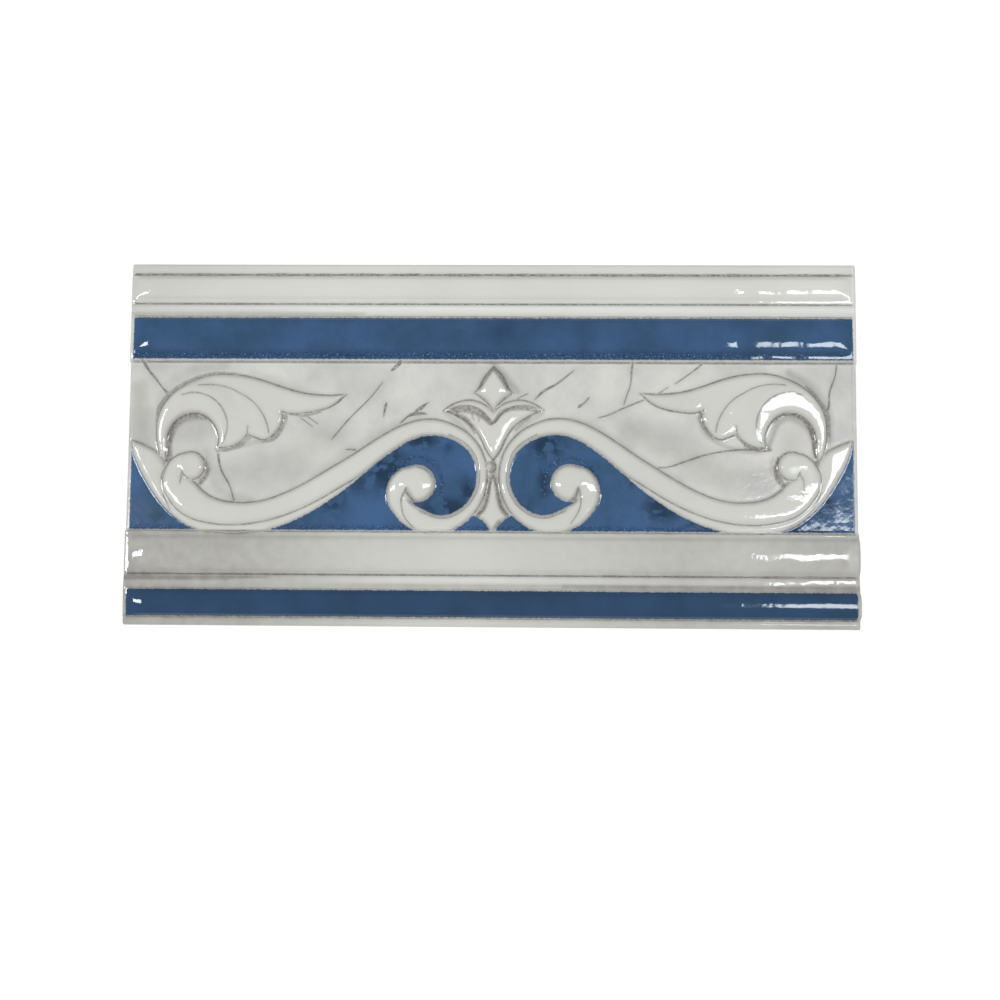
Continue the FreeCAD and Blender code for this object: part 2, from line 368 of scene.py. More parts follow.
# %% Outlines of the flower: bud, calyx, collar and drop
bud_side = [(0.0, 21.4), (1.7, 19.6), (3.2, 17.3), (4.1, 15.3), (5.3, 14.1)]
bud_foot = [(5.3, 14.1), (3.5, 12.8), (1.7, 11.2), (0.0, 9.2)]
calyx_top = [(13.6, 9.3), (12.0, 10.5), (9.7, 11.6), (7.2, 12.1), (4.8, 11.8), (2.4, 10.8), (0.0, 8.9)]
calyx_foot = [
    (13.6, 9.3), (11.0, 8.2), (8.4, 6.8), (6.2, 5.2), (4.6, 3.4), (3.3, 1.1), (2.1, -1.5),
    (1.1, -3.2), (0.0, -4.4),
]
calyx_fold = [(12.4, 9.3), (10.4, 10.1), (7.8, 10.5), (5.0, 10.0), (2.6, 8.4), (0.2, 5.6)]
drop_side = [(0.0, -8.6), (1.0, -12.0), (1.6, -15.2), (2.8, -18.1), (4.5, -19.8)]
drop_foot = [(4.5, -19.8), (2.7, -21.0), (1.2, -22.7), (0.3, -24.0)]
collar_eye = (-0.6, -6.4, 1.4)
print("the flower is", round(bud_side[0][1] - drop_foot[-1][1], 1), "mm high")

# %% [markdown]
# ## Raising and painting in one pass
#
# The forms are laid one over the other, from the lowest up, as a modeller would add clay: a form hides the
# lines below it, lifts the face inside its outline, and adds its own outline. Between the lines each face
# swells like a cushion. That swell comes from all the lines around a point together: the sum of one over
# each distance, turned over again, is small beside any line and grows evenly towards the middle.
#
# The pigment lines need one more trick. They are about as wide as a face of the mesh, so each face keeps
# only its nearest line, and its four corners store their distance to that line, plus on one side and minus
# on the other. Inside the face the value then runs evenly through zero, and the line comes out crisp.

# %% What each point and each face knows
spots = np.stack([grid_x, grid_y], 1)
count = len(spots)
corners = np.empty(4 * len(mesh.polygons), int)
mesh.loops.foreach_get("vertex_index", corners)
corners = corners.reshape(-1, 4)

inside = np.full(count, -far_away)
lift = np.zeros(count)
crowd = np.zeros(count)
cushion = np.ones(count)
line_gap = np.full(count, far_away)
paint_gap = np.full(count, far_away)
halo = np.zeros(count)
grey_and_painted_shade = np.zeros(count)
strokes = []
face_stroke = np.zeros(len(corners), int)
face_gap = np.full(len(corners), far_away)
print(count, "points and", len(corners), "faces")

# %% [markdown]
# ## Paint on the ground
#
# The pale ground imitates stone: thin broken lines run across it, drawn freely with a fine brush, short
# darker strokes lie along the forms, and soft grey washes gather in the corners. They are only paint, so
# they are not pressed into the face, and they go on first, because the ornament covers them. Each point's
# third number is half the width of the brush there.

# %% Draw the ground's cracks
line_half = 0.2
halo_reach = 0.55
crowd_reach = 20.0
least_gap = 0.08
crack_share = 0.85


def draw(line, half=line_half, tone=0.8, pressed=True):
    """Draw a pigment line, with its own half widths where it has them; a pressed one parts two faces."""
    distance, side, own = measure(spots, line)
    halves = np.where(own > 0, own, half)
    gap = (distance - halves)[corners].min(1)
    nearer = gap < face_gap
    face_gap[nearer] = gap[nearer]
    face_stroke[nearer] = len(strokes)
    strokes.append((distance * side, halves, tone))
    np.minimum(paint_gap, distance - halves, out=paint_gap)
    np.maximum(halo, tone * np.exp(-distance / halo_reach), out=halo)
    if pressed:
        close = distance < crowd_reach
        crowd[close] += 1 / np.maximum(distance[close], least_gap)
        np.minimum(line_gap, distance, out=line_gap)


cracks = [
    [(-96.2, 22.6, 0.45), (-95.1, 20.7, 0.4), (-92.5, 17.5, 0.3), (-90.8, 15.3, 0.3), (-89.2, 13.6, 0.45)],
    [(-75.0, -0.8, 0.3), (-74.7, -4.4, 0.3), (-73.8, -7.7, 0.25), (-71.6, -11.6, 0.2), (-70.2, -15.8, 0.2)],
    [(-25.0, 22.4, 0.7), (-27.2, 20.4, 0.4)],
    [(-29.9, 16.8, 0.12), (-33.2, 12.6, 0.16), (-38.1, 7.6, 0.2), (-40.4, 5.0, 0.2), (-43.5, 1.2, 0.14)],
    [(-28.8, 10.9, 0.35), (-29.4, 7.7, 0.3)],
    [(-17.3, 11.3, 0.15), (-19.0, 10.0, 0.6), (-20.5, 9.0, 0.45)],
    [(-18.0, 8.3, 0.3), (-20.6, 8.2, 0.65), (-22.4, 7.7, 0.45), (-24.6, 5.8, 0.2)],
    [(-39.2, -1.7, 0.3), (-36.8, -1.8, 0.2)],
    [(-52.9, 7.4, 0.15), (-49.0, 4.6, 0.1)],
    [(-51.4, 8.0, 0.15), (-47.6, 5.4, 0.1)],
    [(73.2, -1.2, 0.35), (68.6, -1.3, 0.25), (59.8, -2.5, 0.2), (52.6, -4.8, 0.25), (48.7, -6.1, 0.2),
     (45.0, -6.4, 0.2)],
    [(94.6, 22.4, 0.2), (94.1, 19.1, 0.2), (92.5, 14.2, 0.25), (92.3, 10.9, 0.3), (91.5, 8.4, 0.35)],
    [(57.8, 22.2, 0.3), (55.6, 20.4, 0.2), (50.6, 16.8, 0.15)],
    [(48.4, 15.7, 0.12), (44.8, 13.3, 0.16)],
    [(38.9, 22.4, 0.4), (38.6, 20.4, 0.25), (38.4, 17.2, 0.2), (37.4, 13.8, 0.16), (36.5, 11.2, 0.16)],
    [(42.0, 12.3, 0.25), (36.6, 10.1, 0.2), (32.0, 8.0, 0.16), (29.8, 7.4, 0.12)],
    [(22.8, 20.4, 0.12), (18.0, 16.6, 0.3), (14.4, 14.5, 0.35), (12.2, 12.4, 0.12)],
    [(26.8, 12.7, 0.3), (25.6, 11.4, 0.25), (24.4, 10.5, 0.5)],
    [(9.9, 13.8, 0.14), (7.4, 12.6, 0.14)],
]
for crack in cracks:
    draw(smooth_line([(x, y, crack_share * half) for x, y, half in crack]), tone=0.75, pressed=False)
print(len(cracks), "cracks")

# %% Draw short strokes along the forms
edge_strokes = [
    [(-56.2, 9.2, 0.3), (-56.5, 6.6, 0.6), (-58.2, 2.9, 0.6), (-60.2, 0.8, 0.45), (-62.6, 0.2, 0.3)],
    [(-66.2, 1.6, 0.5), (-69.2, -0.9, 0.5), (-72.3, -1.9, 0.4), (-75.2, -2.0, 0.6)],
    [(-56.2, 8.3, 0.4), (-51.4, 7.7, 0.45), (-46.8, 8.6, 0.2)],
    [(-92.0, 5.5, 0.3), (-91.3, 9.6, 0.7), (-88.5, 13.5, 0.7), (-84.6, 16.5, 0.5), (-79.5, 18.6, 0.4),
     (-72.0, 19.3, 0.3), (-64.0, 17.9, 0.2)],
    [(57.4, 9.2, 0.4), (57.4, 7.2, 0.6), (59.0, 3.8, 0.5), (60.8, 1.9, 0.4)],
    [(67.0, 2.8, 0.4), (69.7, 0.1, 0.45), (72.4, -0.9, 0.6), (75.6, -1.1, 0.9)],
    [(-77.0, 5.6, 0.4), (-79.2, 7.9, 0.7), (-82.4, 8.7, 0.8), (-85.9, 7.4, 0.9), (-88.4, 4.6, 1.1),
     (-89.2, 0.6, 1.1), (-89.3, -4.6, 0.8)],
    [(77.2, 6.4, 0.3), (79.2, 8.2, 0.5), (82.2, 8.8, 0.7), (85.6, 7.4, 1.0), (87.9, 4.9, 1.3),
     (88.8, 1.9, 1.3), (89.2, -4.6, 0.8)],
    [(78.4, -4.4, 0.3), (77.9, -7.6, 0.7), (79.4, -10.6, 0.7), (80.8, -11.8, 0.3)],
    [(-78.2, -4.6, 0.2), (-77.9, -8.4, 0.5), (-79.6, -11.2, 0.4)],
    [(86.4, 16.0, 0.3), (89.4, 12.6, 0.7), (91.6, 8.0, 0.8), (92.2, 3.0, 0.5)],
]
for stroke in edge_strokes:
    draw(smooth_line(stroke), tone=0.45, pressed=False)
print(len(edge_strokes), "strokes")

# %% Brush the washes on the ground
crisp_tone = 0.65


def brush(points, tone, softness=1.0):
    """Grey paint and painted shade alike: even along the line, then fading over the soft share of its half
    width.
    """
    distance, _, half = measure(spots, smooth_line(points))
    share = np.clip((1 - distance / np.maximum(half, 0.01)) / softness, 0, 1)
    np.maximum(grey_and_painted_shade, tone * share * share * (3 - 2 * share), out=grey_and_painted_shade)


ground_washes = [
    ([(-88.5, 4.0, 4.0), (-90.5, 12.0, 4.5), (-84.0, 19.5, 3.5), (-74.0, 21.5, 3.0)], 0.3),
    ([(-66.0, 19.5, 2.5), (-56.0, 15.5, 2.5), (-46.0, 12.0, 2.0)], 0.18),
    ([(-79.0, 7.0, 1.6), (-85.5, 5.5, 2.0), (-88.5, 1.5, 1.8), (-88.7, -4.0, 1.5)], 0.6),
    ([(-77.5, 6.8, 1.1), (-82.0, 7.6, 1.7), (-86.4, 5.6, 1.9), (-88.6, 1.4, 1.9), (-88.6, -4.6, 1.5)], 1.0),
    ([(-79.6, -10.8, 1.2), (-77.6, -8.4, 1.0), (-77.4, -5.6, 0.6)], 0.7),
    ([(-78.0, -2.5, 3.0), (-76.5, -8.0, 3.4), (-73.5, -13.5, 3.0), (-66.0, -16.0, 2.5)], 0.3),
    ([(-57.4, 7.0, 1.2), (-58.5, 3.0, 1.2), (-64.0, 0.4, 1.3), (-72.5, -1.8, 1.5)], 0.32),
    ([(-47.0, -9.0, 3.5), (-38.0, -2.5, 3.5), (-28.0, 3.5, 3.0), (-20.0, 7.5, 2.0)], 0.22),
    ([(-12.5, 8.6, 1.3), (-7.5, 4.5, 1.3), (-4.5, 0.0, 1.0)], 0.35),
    ([(0.6, 22.4, 1.5), (3.9, 18.6, 1.9), (7.4, 14.6, 1.5)], 0.5),
    ([(14.0, 8.6, 1.3), (9.0, 4.8, 1.3), (6.0, 0.0, 1.0)], 0.3),
    ([(22.0, 7.2, 1.4), (30.0, 3.6, 2.0), (40.0, -3.4, 2.4), (52.0, -10.0, 2.4)], 0.2),
    ([(57.0, 7.4, 1.4), (58.4, 3.4, 1.3), (62.0, 0.6, 1.1), (69.0, -1.6, 1.2), (74.0, -1.8, 1.0)], 0.42),
    ([(76.0, 0.0, 1.3), (80.0, 7.0, 1.7), (85.0, 6.0, 1.9), (88.2, 1.0, 1.7), (88.8, -5.0, 1.3)], 0.6),
    ([(81.5, 20.0, 1.8), (88.0, 15.5, 2.4), (91.8, 8.5, 2.4), (92.4, 1.5, 1.6)], 0.5),
    ([(77.0, -4.0, 1.3), (76.8, -8.0, 1.6), (79.5, -11.5, 1.2)], 0.45),
    ([(78.4, -3.6, 0.5), (77.6, -6.6, 0.8), (78.6, -9.6, 0.9), (80.2, -11.4, 0.6)], 1.0),
    ([(77.0, 6.2, 0.6), (79.0, 8.2, 1.1), (83.2, 8.6, 1.7), (86.6, 6.8, 2.0), (88.2, 3.4, 1.9),
      (88.8, -3.0, 1.2)], 1.0),
    ([(57.6, 9.2, 0.9), (58.2, 6.6, 1.1), (59.0, 4.2, 0.6)], 0.9),
    ([(76.2, -1.4, 0.5), (72.6, -1.2, 0.9), (69.4, -0.2, 0.5)], 0.8),
    ([(1.0, -8.5, 1.9), (1.0, -13.0, 2.4), (1.0, -18.0, 3.4)], 0.55),
    ([(-97.0, 15.0, 5.0), (-96.0, 4.0, 6.0), (-95.0, -4.0, 4.0)], 0.45),
    ([(-76.0, 5.0, 6.0), (-84.0, 3.0, 8.0)], 0.25),
    ([(-72.0, -9.0, 8.0), (-60.0, -7.0, 9.0), (-46.0, 2.0, 7.0)], 0.26),
    ([(76.0, -10.0, 6.0), (64.0, -9.0, 8.0), (50.0, 0.0, 8.0), (38.0, 4.0, 5.0)], 0.36),
    ([(82.0, 2.0, 7.0), (80.0, -4.0, 5.0)], 0.25),
]
for points, tone in ground_washes:
    brush(points, tone, softness=0.6 if tone > crisp_tone else 1.0)
print(len(ground_washes), "washes")

# %% [markdown]
# ## Both halves of the ornament
#
# The order is bevel, leaf, stem, bosses, flower. The heights step up in the same order and stay close to
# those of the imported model. Two forms are more than a flat step: the corner leaf tilts up towards its tip,
# and the leaf's hook folds over, so it climbs with its height and falls off outside its crest.


# %% Bring a drawing of the right half to one half of the tile
volute_drift = 0.8
end_drift = -0.2
half_lift = 0.3


def placed(points, side):
    """Points of the right half, brought to one half of the tile."""
    moved = []
    for x, y, *rest in points:
        drift = np.interp(x, (25.0, 90.0), (volute_drift, end_drift))
        higher = side * np.interp(x, (5.0, 30.0), (0.0, half_lift))
        moved.append((side * x + drift, y + higher, *rest))
    return moved


def whole(*runs):
    """The runs down the right half of a form on the middle line, and back up its left half."""
    right = [placed(run, 1) for run in runs]
    left = [placed(run, -1)[::-1] for run in reversed(runs)]
    return right + left


for side in (1, -1):
    (x, y, _), = placed([curl_eye], side)
    print("the curl's eye on side", side, "is at", round(float(x), 2), round(float(y), 2))


# %% Lay a form over what is there
def ramp(depth, low_end=-0.15, high_end=0.6):
    """A smooth step from 0 at the low end to 1 at the high end."""
    share = np.clip((depth - low_end) / (high_end - low_end), 0, 1)
    return share * share * (3 - 2 * share)


def lay(depth, height):
    """Lay a form over what is there: depth is how far inside its outline each point is."""
    covered = depth > 0
    line_gap[covered] = far_away
    paint_gap[covered] = far_away
    crowd[covered] *= 1 - ramp(depth[covered], 0.0, 1.5)
    halo[covered] = 0.0
    grey_and_painted_shade[covered] = 0.0
    face_gap[depth[corners].mean(1) > 0] = far_away
    np.maximum(inside, depth, out=inside)
    np.maximum(lift, height * ramp(depth), out=lift)


def beside(spine, turn, inset=0.0):
    """The line beside a spine, at its half width less the inset, on the side that the turn gives."""
    way = np.gradient(spine[:, :2], axis=0)
    across = turn * np.stack([-way[:, 1], way[:, 0]], 1) / np.hypot(*way.T)[:, None]
    edge = spine[:, :2] + across * (spine[:, 2:] - inset)
    return np.column_stack([edge, np.zeros(len(edge))])


def lay_ridge(points, height, tone):
    """A form of changing width along a spine, such as a stem."""
    spine = smooth_line(points)
    distance, _, half = measure(spots, spine)
    lay(half - distance, height)
    for turn in (1, -1):
        draw(beside(spine, turn), tone=tone)


# %% Forms inside outlines, and bosses
outline_cushion = 0.2
crown_aside = 0.4
crown_up = 0.2


def lay_outline(runs, height, tone, extra=None):
    """A form inside smooth runs that meet in corners; extra shapes it in place of the swell."""
    lines = [smooth_line(run) for run in runs]
    outline = np.concatenate([line[:-1, :2] for line in lines])
    gaps = [measure(spots, line)[0] for line in lines]
    depth = np.min(gaps, axis=0)
    depth = np.where(within(spots, outline), depth, -depth)
    lay(depth, height)
    if extra:
        covered = depth > 0
        lift[covered] += extra(depth)[covered]
        cushion[covered] = outline_cushion
    for line in lines:
        draw(line, tone=tone)


def lay_eye(eye, side, height, arc, tone, dome=0.0, reach_out=0.0):
    """A boss, with its outline drawn over the arc that stands free, and a dome over it and its scroll."""
    (x, y, radius), = placed([eye], side)
    distance = np.hypot(*(spots - (x, y)).T)
    lay(radius - distance, height)
    if dome:
        from_crown = np.hypot(grid_x - x - crown_aside * side * radius, grid_y - y - crown_up)
        swelling = height + dome * np.clip(1 - (from_crown / reach_out) ** 2, 0, 1)
        on_form = (inside > 0) & (from_crown < reach_out)
        lift[on_form] = np.maximum(lift[on_form], (ramp(inside) * swelling)[on_form])
    angles = np.radians(np.linspace(*arc, 40))
    rim = np.stack([x + side * radius * np.cos(angles), y + radius * np.sin(angles), 0 * angles], 1)
    draw(rim, tone=tone)


# %% Tilt the corner leaf and fold the hook
leaf_tilt = 0.06
leaf_foot = -12.0
leaf_climb = 13.0
hook_slope = 0.078
hook_foot = -1.0
hook_climb = 16.0
hook_width = 5.0
hook_reach = 12.0


def tilt_corner_leaf(side):
    """Raise the end of the bevel, the corner leaf, more and more from its foot up."""
    outward = side * grid_x
    corner_leaf = (inside > 0) & (outward > 88.0) & (grid_y < 6.0)
    climb = leaf_tilt * np.clip(grid_y - leaf_foot, 0, leaf_climb)
    leaf_rise = climb * ramp(outward, 89.0, 93.0) * ramp(inside, 0.0, 1.0)
    lift[corner_leaf] += leaf_rise[corner_leaf]


def fold_hook(side):
    """Raise the leaf's hook inside its crest, and let it fall off over a set width outside it."""
    from_crest, turn, _ = measure(spots, smooth_line(placed(hook_crest, side)), margin=hook_reach)
    outside = np.where(turn == side, 0.0, from_crest)
    hooked = (inside > 0) & (from_crest < hook_reach) & (grid_y > -6)
    climb = hook_slope * np.clip(grid_y - hook_foot, 0, hook_climb)
    hook_lift = climb * (1 - ramp(outside, 0.0, hook_width)) * ramp(inside, 0.0, 0.8)
    lift[hooked] += hook_lift[hooked]


# %% Lay the bevel, the leaf, the stem and the bosses
bevel_height = 0.45
leaf_height = 0.7
stem_height = 0.95
vein_half = 0.16
crease_half = 0.14
crease_inset = 0.75

for side in (1, -1):
    lay_ridge(placed(bevel, side), bevel_height, 0.55)
    tilt_corner_leaf(side)
    lay_outline([placed(run, side) for run in leaf], leaf_height, 0.7)
    fold_hook(side)
    draw(smooth_line(placed(hook_vein, side)), tone=0.5, pressed=False)
    for vein in (outer_vein, notch_vein):
        draw(smooth_line(placed(vein, side)), half=vein_half, tone=0.55, pressed=False)
    lay_ridge(placed(stem, side), stem_height, 0.6)
    volute = smooth_line(placed(stem[17:25], side))
    draw(beside(volute, side, crease_inset), half=crease_half, tone=0.55, pressed=False)
    lay_eye(volute_eye, side, stem_height, (60, 286), 0.55, dome=1.15, reach_out=7.3)
    lay_eye(curl_eye, side, stem_height, (60, 275), 0.6)
print("raised points:", int((inside > 0).sum()))


# %% Lay the flower
flower_height = 0.7
bud_height = 0.85
bud_middle = 16.0
bud_reach = (5.3, 6.0)


def flank(width, rise):
    """A slope that climbs inward from the outline, over this width."""
    return lambda depth: rise * np.clip(depth / width, 0, 1)


def calyx_shape(depth):
    """The calyx's slope, lower on its left half, and its climb towards its foot."""
    slope = np.where(grid_x > volute_drift, 1.0, 0.6) * flank(2.5, 0.58)(depth)
    return slope + 0.06 * np.clip(9.0 - grid_y, 0, 12)


def bud_shape(depth):
    """A dome over the bud."""
    across = (grid_x - volute_drift) / bud_reach[0]
    up = (grid_y - bud_middle) / bud_reach[1]
    return 1.3 * np.clip(1 - across ** 2 - up ** 2, 0, 1) * ramp(depth, 0.0, 0.6)


lay_outline(whole(drop_side, drop_foot), flower_height, 0.6, flank(1.4, 0.4))
lay_outline(whole(calyx_foot[::-1], calyx_top), flower_height, 0.65, calyx_shape)
for side in (1, -1):
    draw(smooth_line(placed(calyx_fold, side)), tone=0.5)
lay_outline(whole(bud_side, bud_foot), bud_height, 0.65, bud_shape)
lay_eye(collar_eye, 1, flower_height, (0, 360), 0.45, dome=0.9, reach_out=2.2)
print("raised points:", int((inside > 0).sum()))

# %% [markdown]
# ## Lines and washes on the forms
#
# The brush goes over the raised forms last: creases where the scroll rolls into its boss, a fold along each
# corner leaf, and grey shading inside the flower. Straight lines part the mouldings.

# %% Draw the creases
creases = [
    [(-22.9, -12.9, 0.35), (-24.0, -15.2, 0.25), (-24.0, -17.8, 0.16), (-23.3, -20.1, 0.16),
     (-20.2, -23.7, 0.14)],
    [(-22.7, -13.6, 0.3), (-20.5, -16.2, 0.2), (-17.6, -19.0, 0.16), (-14.8, -20.1, 0.12)],
    [(-19.9, -6.6, 0.12), (-17.4, -7.5, 0.16), (-15.5, -9.7, 0.2), (-15.3, -12.4, 0.16),
     (-17.4, -15.2, 0.14)],
    [(24.0, -12.4, 0.35), (24.7, -15.0, 0.18), (24.2, -18.2, 0.14), (22.0, -21.8, 0.1)],
    [(23.9, -12.6, 0.3), (22.9, -15.0, 0.2), (20.8, -16.2, 0.2)],
    [(-82.6, -10.0, 0.2), (-83.6, -9.4, 0.2), (-84.4, -8.2, 0.25)],
    [(-84.4, -8.2, 0.25), (-84.9, -11.2, 0.12)],
    [(82.4, -9.8, 0.16), (83.3, -9.2, 0.2), (83.9, -7.7, 0.25)],
    [(83.9, -7.7, 0.25), (84.9, -9.7, 0.14), (85.1, -12.5, 0.1)],
    [(-87.7, -4.8, 0.16), (-89.2, -8.0, 0.16), (-89.9, -12.9, 0.16), (-87.6, -18.6, 0.12)],
    [(90.0, -11.0, 0.16), (88.9, -15.2, 0.16), (86.9, -18.2, 0.16), (84.3, -20.8, 0.16),
     (79.6, -23.4, 0.2)],
]
for crease in creases:
    draw(smooth_line(crease), tone=0.6, pressed=False)
print(len(creases), "creases")

# %% Brush the washes on the forms
form_washes = [
    ([(0.8, 20.8, 0.6), (2.1, 18.9, 0.85), (3.5, 16.9, 0.9), (4.6, 15.0, 0.6)], 0.8),
    ([(0.8, 20.8, 0.6), (-0.6, 18.9, 0.8), (-1.9, 16.9, 0.8), (-3.0, 15.2, 0.5)], 0.75),
    ([(-11.4, 8.9, 0.5), (-8.4, 9.3, 1.1), (-5.4, 9.2, 1.4), (-2.6, 8.0, 1.3), (0.2, 5.4, 0.8)], 0.95),
    ([(-5.2, 8.4, 0.5), (-4.6, 6.4, 0.3)], 0.7),
    ([(-3.4, 7.6, 0.5), (-3.0, 6.0, 0.3)], 0.7),
    ([(-9.4, 8.2, 0.6), (-6.8, 6.6, 1.0), (-5.2, 4.6, 0.7), (-4.3, 2.8, 0.4)], 0.8),
    ([(12.6, 9.0, 0.4), (9.6, 9.7, 0.8), (6.0, 9.6, 0.9), (3.2, 8.6, 0.9), (1.2, 6.0, 0.7)], 0.85),
    ([(10.6, 7.2, 0.5), (8.6, 5.6, 0.7), (6.8, 3.8, 0.5)], 0.6),
    ([(0.8, -4.6, 0.9), (0.8, -8.6, 1.3)], 0.7),
    ([(-0.2, -9.6, 0.9), (-0.7, -13.6, 1.0), (-1.8, -17.6, 1.1), (-3.2, -19.6, 0.9)], 0.8),
    ([(1.8, -9.6, 0.9), (2.3, -13.6, 1.0), (3.3, -17.6, 1.1), (4.7, -19.6, 0.9)], 0.8),
    ([(0.9, -23.4, 0.6), (2.4, -21.4, 0.8)], 0.6),
    ([(-22.6, -12.6, 0.9), (-21.4, -15.0, 1.2), (-19.6, -16.6, 0.6)], 0.5),
    ([(23.8, -12.6, 0.9), (22.8, -15.0, 1.2), (21.2, -16.4, 0.6)], 0.5),
]
for points, tone in form_washes:
    brush(points, tone, softness=0.55)
print(len(form_washes), "washes")

# %% Draw the lines between the mouldings
line_stop = 1.4
line_end = half_length - line_stop
moulding_lines = (
    ("upper_groove", 0.36, 0.7), ("roll_groove", 0.22, 0.7), ("upper_blue_top", 0.26, 0.65),
    ("frieze_top", 0.2, 0.6), ("frieze_foot", 0.24, 0.65), ("band_groove", 0.22, 0.7),
    ("lower_blue_top", 0.2, 0.5), ("lower_blue_foot", 0.28, 0.7))
for name, half, tone in moulding_lines:
    y = levels[name]
    draw(smooth_line([(-line_end, y), (0.0, y), (line_end, y)]), half=half, tone=tone, pressed=False)
print(len(strokes), "pigment lines")

# %% [markdown]
# ## Where the blue lies
#
# The two blue bands are strips. In the frieze blue fills the ground below the scrolls, also inside their
# volutes. The border of that field runs hidden under the forms, along the middle of the corner leaf and the
# stem, so its own edge never shows: what shows is the edge of the forms. As for the lines, each point
# stores how far inside the blue it lies.

# %% The two bands and the field of blue
blue_stop = 1.0
blue_end = half_length - blue_stop


def strip(top, foot):
    """How far inside a straight band each point lies."""
    across = np.minimum(top - grid_y, grid_y - foot)
    return np.minimum(across, blue_end - np.abs(grid_x))


blue = np.maximum(
    strip(levels["upper_blue_top"] - 0.15, levels["upper_blue_foot"] - 0.25),
    strip(levels["lower_blue_top"] - 0.1, levels["lower_blue_foot"] + 0.1))
field_foot = levels["frieze_foot"] + 0.25
for side in (1, -1):
    spine = [(x, y) for x, y, _ in bevel[:5] + stem[5:22]] + [(6.4, -18.3), (4.4, -19.9), (0.0, -20.4)]
    border = placed([(half_length, 1.6)] + spine, side)
    border += [(border[-1][0], field_foot), (side * half_length, field_foot)]
    border = np.array(border + border[:1])
    depth = measure(spots, np.column_stack([border, np.zeros(len(border))]))[0]
    depth = np.where(within(spots, border), depth, -depth)
    depth = np.minimum(depth, blue_end - np.abs(grid_x))
    blue = np.maximum(blue, np.minimum(depth, -inside))
print("blue covers", round(100 * float((blue > 0).mean())), "% of the points")

# %% [markdown]
# The blue was flooded on by hand. It pooled darker in places, mostly low in the field and around the
# volutes, and undissolved grains gathered along some of its edges. A dark pool is a soft round patch, given
# by its place, its reach both ways and its strength.


# %% Dark pools of the blue
def pool(field, x, y, reach_x, reach_y, strength):
    """Add a soft round patch to a field of values."""
    far = ((spots[:, 0] - x) / reach_x) ** 2 + ((spots[:, 1] - y) / reach_y) ** 2
    np.maximum(field, strength * np.exp(-far), out=field)


dark_pools = (
    (-28.5, -6.5, 5.0, 6.5, 1.0), (-36.0, -11.0, 4.0, 4.0, 0.5), (-43.0, -14.5, 3.5, 4.5, 0.9),
    (-58.0, -22.5, 6.0, 2.0, 0.5), (-12.0, -17.5, 7.0, 2.6, 1.0), (-6.0, -13.0, 2.2, 3.4, 0.8),
    (-19.0, 1.0, 5.0, 2.2, 0.9), (-11.5, -1.0, 1.6, 2.0, 0.5), (-22.0, -22.5, 2.0, 1.6, 0.8),
    (15.5, -0.5, 4.5, 3.5, 1.0), (14.6, -10.5, 1.8, 5.0, 0.7), (9.5, -17.0, 3.0, 3.0, 0.4),
    (31.0, -1.5, 3.0, 1.6, 0.5), (29.0, -7.0, 1.6, 3.0, 0.4), (38.5, -9.5, 1.8, 2.6, 0.6),
    (47.0, -17.5, 4.5, 3.5, 1.0), (58.0, -21.5, 6.0, 2.4, 0.8), (84.5, -22.8, 6.0, 2.0, 1.0),
    (91.0, -16.5, 2.2, 4.0, 0.9), (-90.0, -20.0, 4.0, 2.5, 0.5), (3.0, 30.0, 9.0, 6.0, 0.8),
    (-2.0, 33.0, 5.0, 2.5, 0.6), (40.0, 29.5, 10.0, 4.0, 0.3), (-70.0, 28.0, 8.0, 4.0, 0.3))
deep = np.where(grid_y < levels["lower_blue_top"], 0.8, np.where(grid_y > levels["frieze_top"], 0.28, 0.0))
for patch in dark_pools:
    pool(deep, *patch)
print(len(dark_pools), "dark pools")

# %% Grains along the edges of the blue
grain_ring = 7.0


def stripe(level, above, half):
    """A soft stripe along the tile, this far above a line of the section, or below it if negative."""
    return np.exp(-((grid_y - level - above) / half) ** 2)


grain = 0.95 * stripe(levels["upper_blue_foot"], 0.9, 0.75)
grain = np.maximum(grain, 0.7 * stripe(field_foot, 0.8, 0.8))
for x in (volute_drift - volute_eye[0], volute_drift + volute_eye[0]):
    around = np.hypot(grid_x - x, grid_y - volute_eye[1])
    ring = 0.7 * np.exp(-((around - grain_ring) / 0.8) ** 2)
    grain = np.maximum(grain, ring * (grid_y > volute_eye[1] - 3.0))
print("grains lie on", int((grain > 0.3).sum()), "points")

# %% [markdown]
# ## Grey, painted shade and painted light on the mouldings
#
# The mouldings are greyer on the lower ones and towards both ends, and darker grey follows some of their
# lines;
# part of it is painted shade, in the lower halves of the two hollows and on the upper side of the grey band.
# The upper halves of the two hollows are painted paler, as painted light where they face the lamps.

# %% Grey, more on the lower mouldings and towards both ends
along = (-100, -95, -72, -50, -27, 0, 27, 52, 70, 85, 100)
extra_grey = np.interp(grid_x, along, (0.7, 0.66, 0.6, 0.42, 0.2, 0.15, 0.28, 0.44, 0.38, 0.5, 0.6))
extra_grey *= ramp(levels["frieze_foot"] - grid_y, 0.0, 0.4)
extra_grey = np.maximum(extra_grey, 0.1 * ramp(inside, 0.0, 0.4) * (np.abs(grid_y) < 23.0))
end_grey = np.interp(grid_x, (-100, -84, -60, 100), (0.16, 0.12, 0.0, 0.0))
grey_and_painted_shade = np.maximum(grey_and_painted_shade, np.maximum(extra_grey, end_grey))
print("mean grey of the mouldings:", round(float(grey_and_painted_shade[np.abs(grid_y) > frieze / 2].mean()), 2))
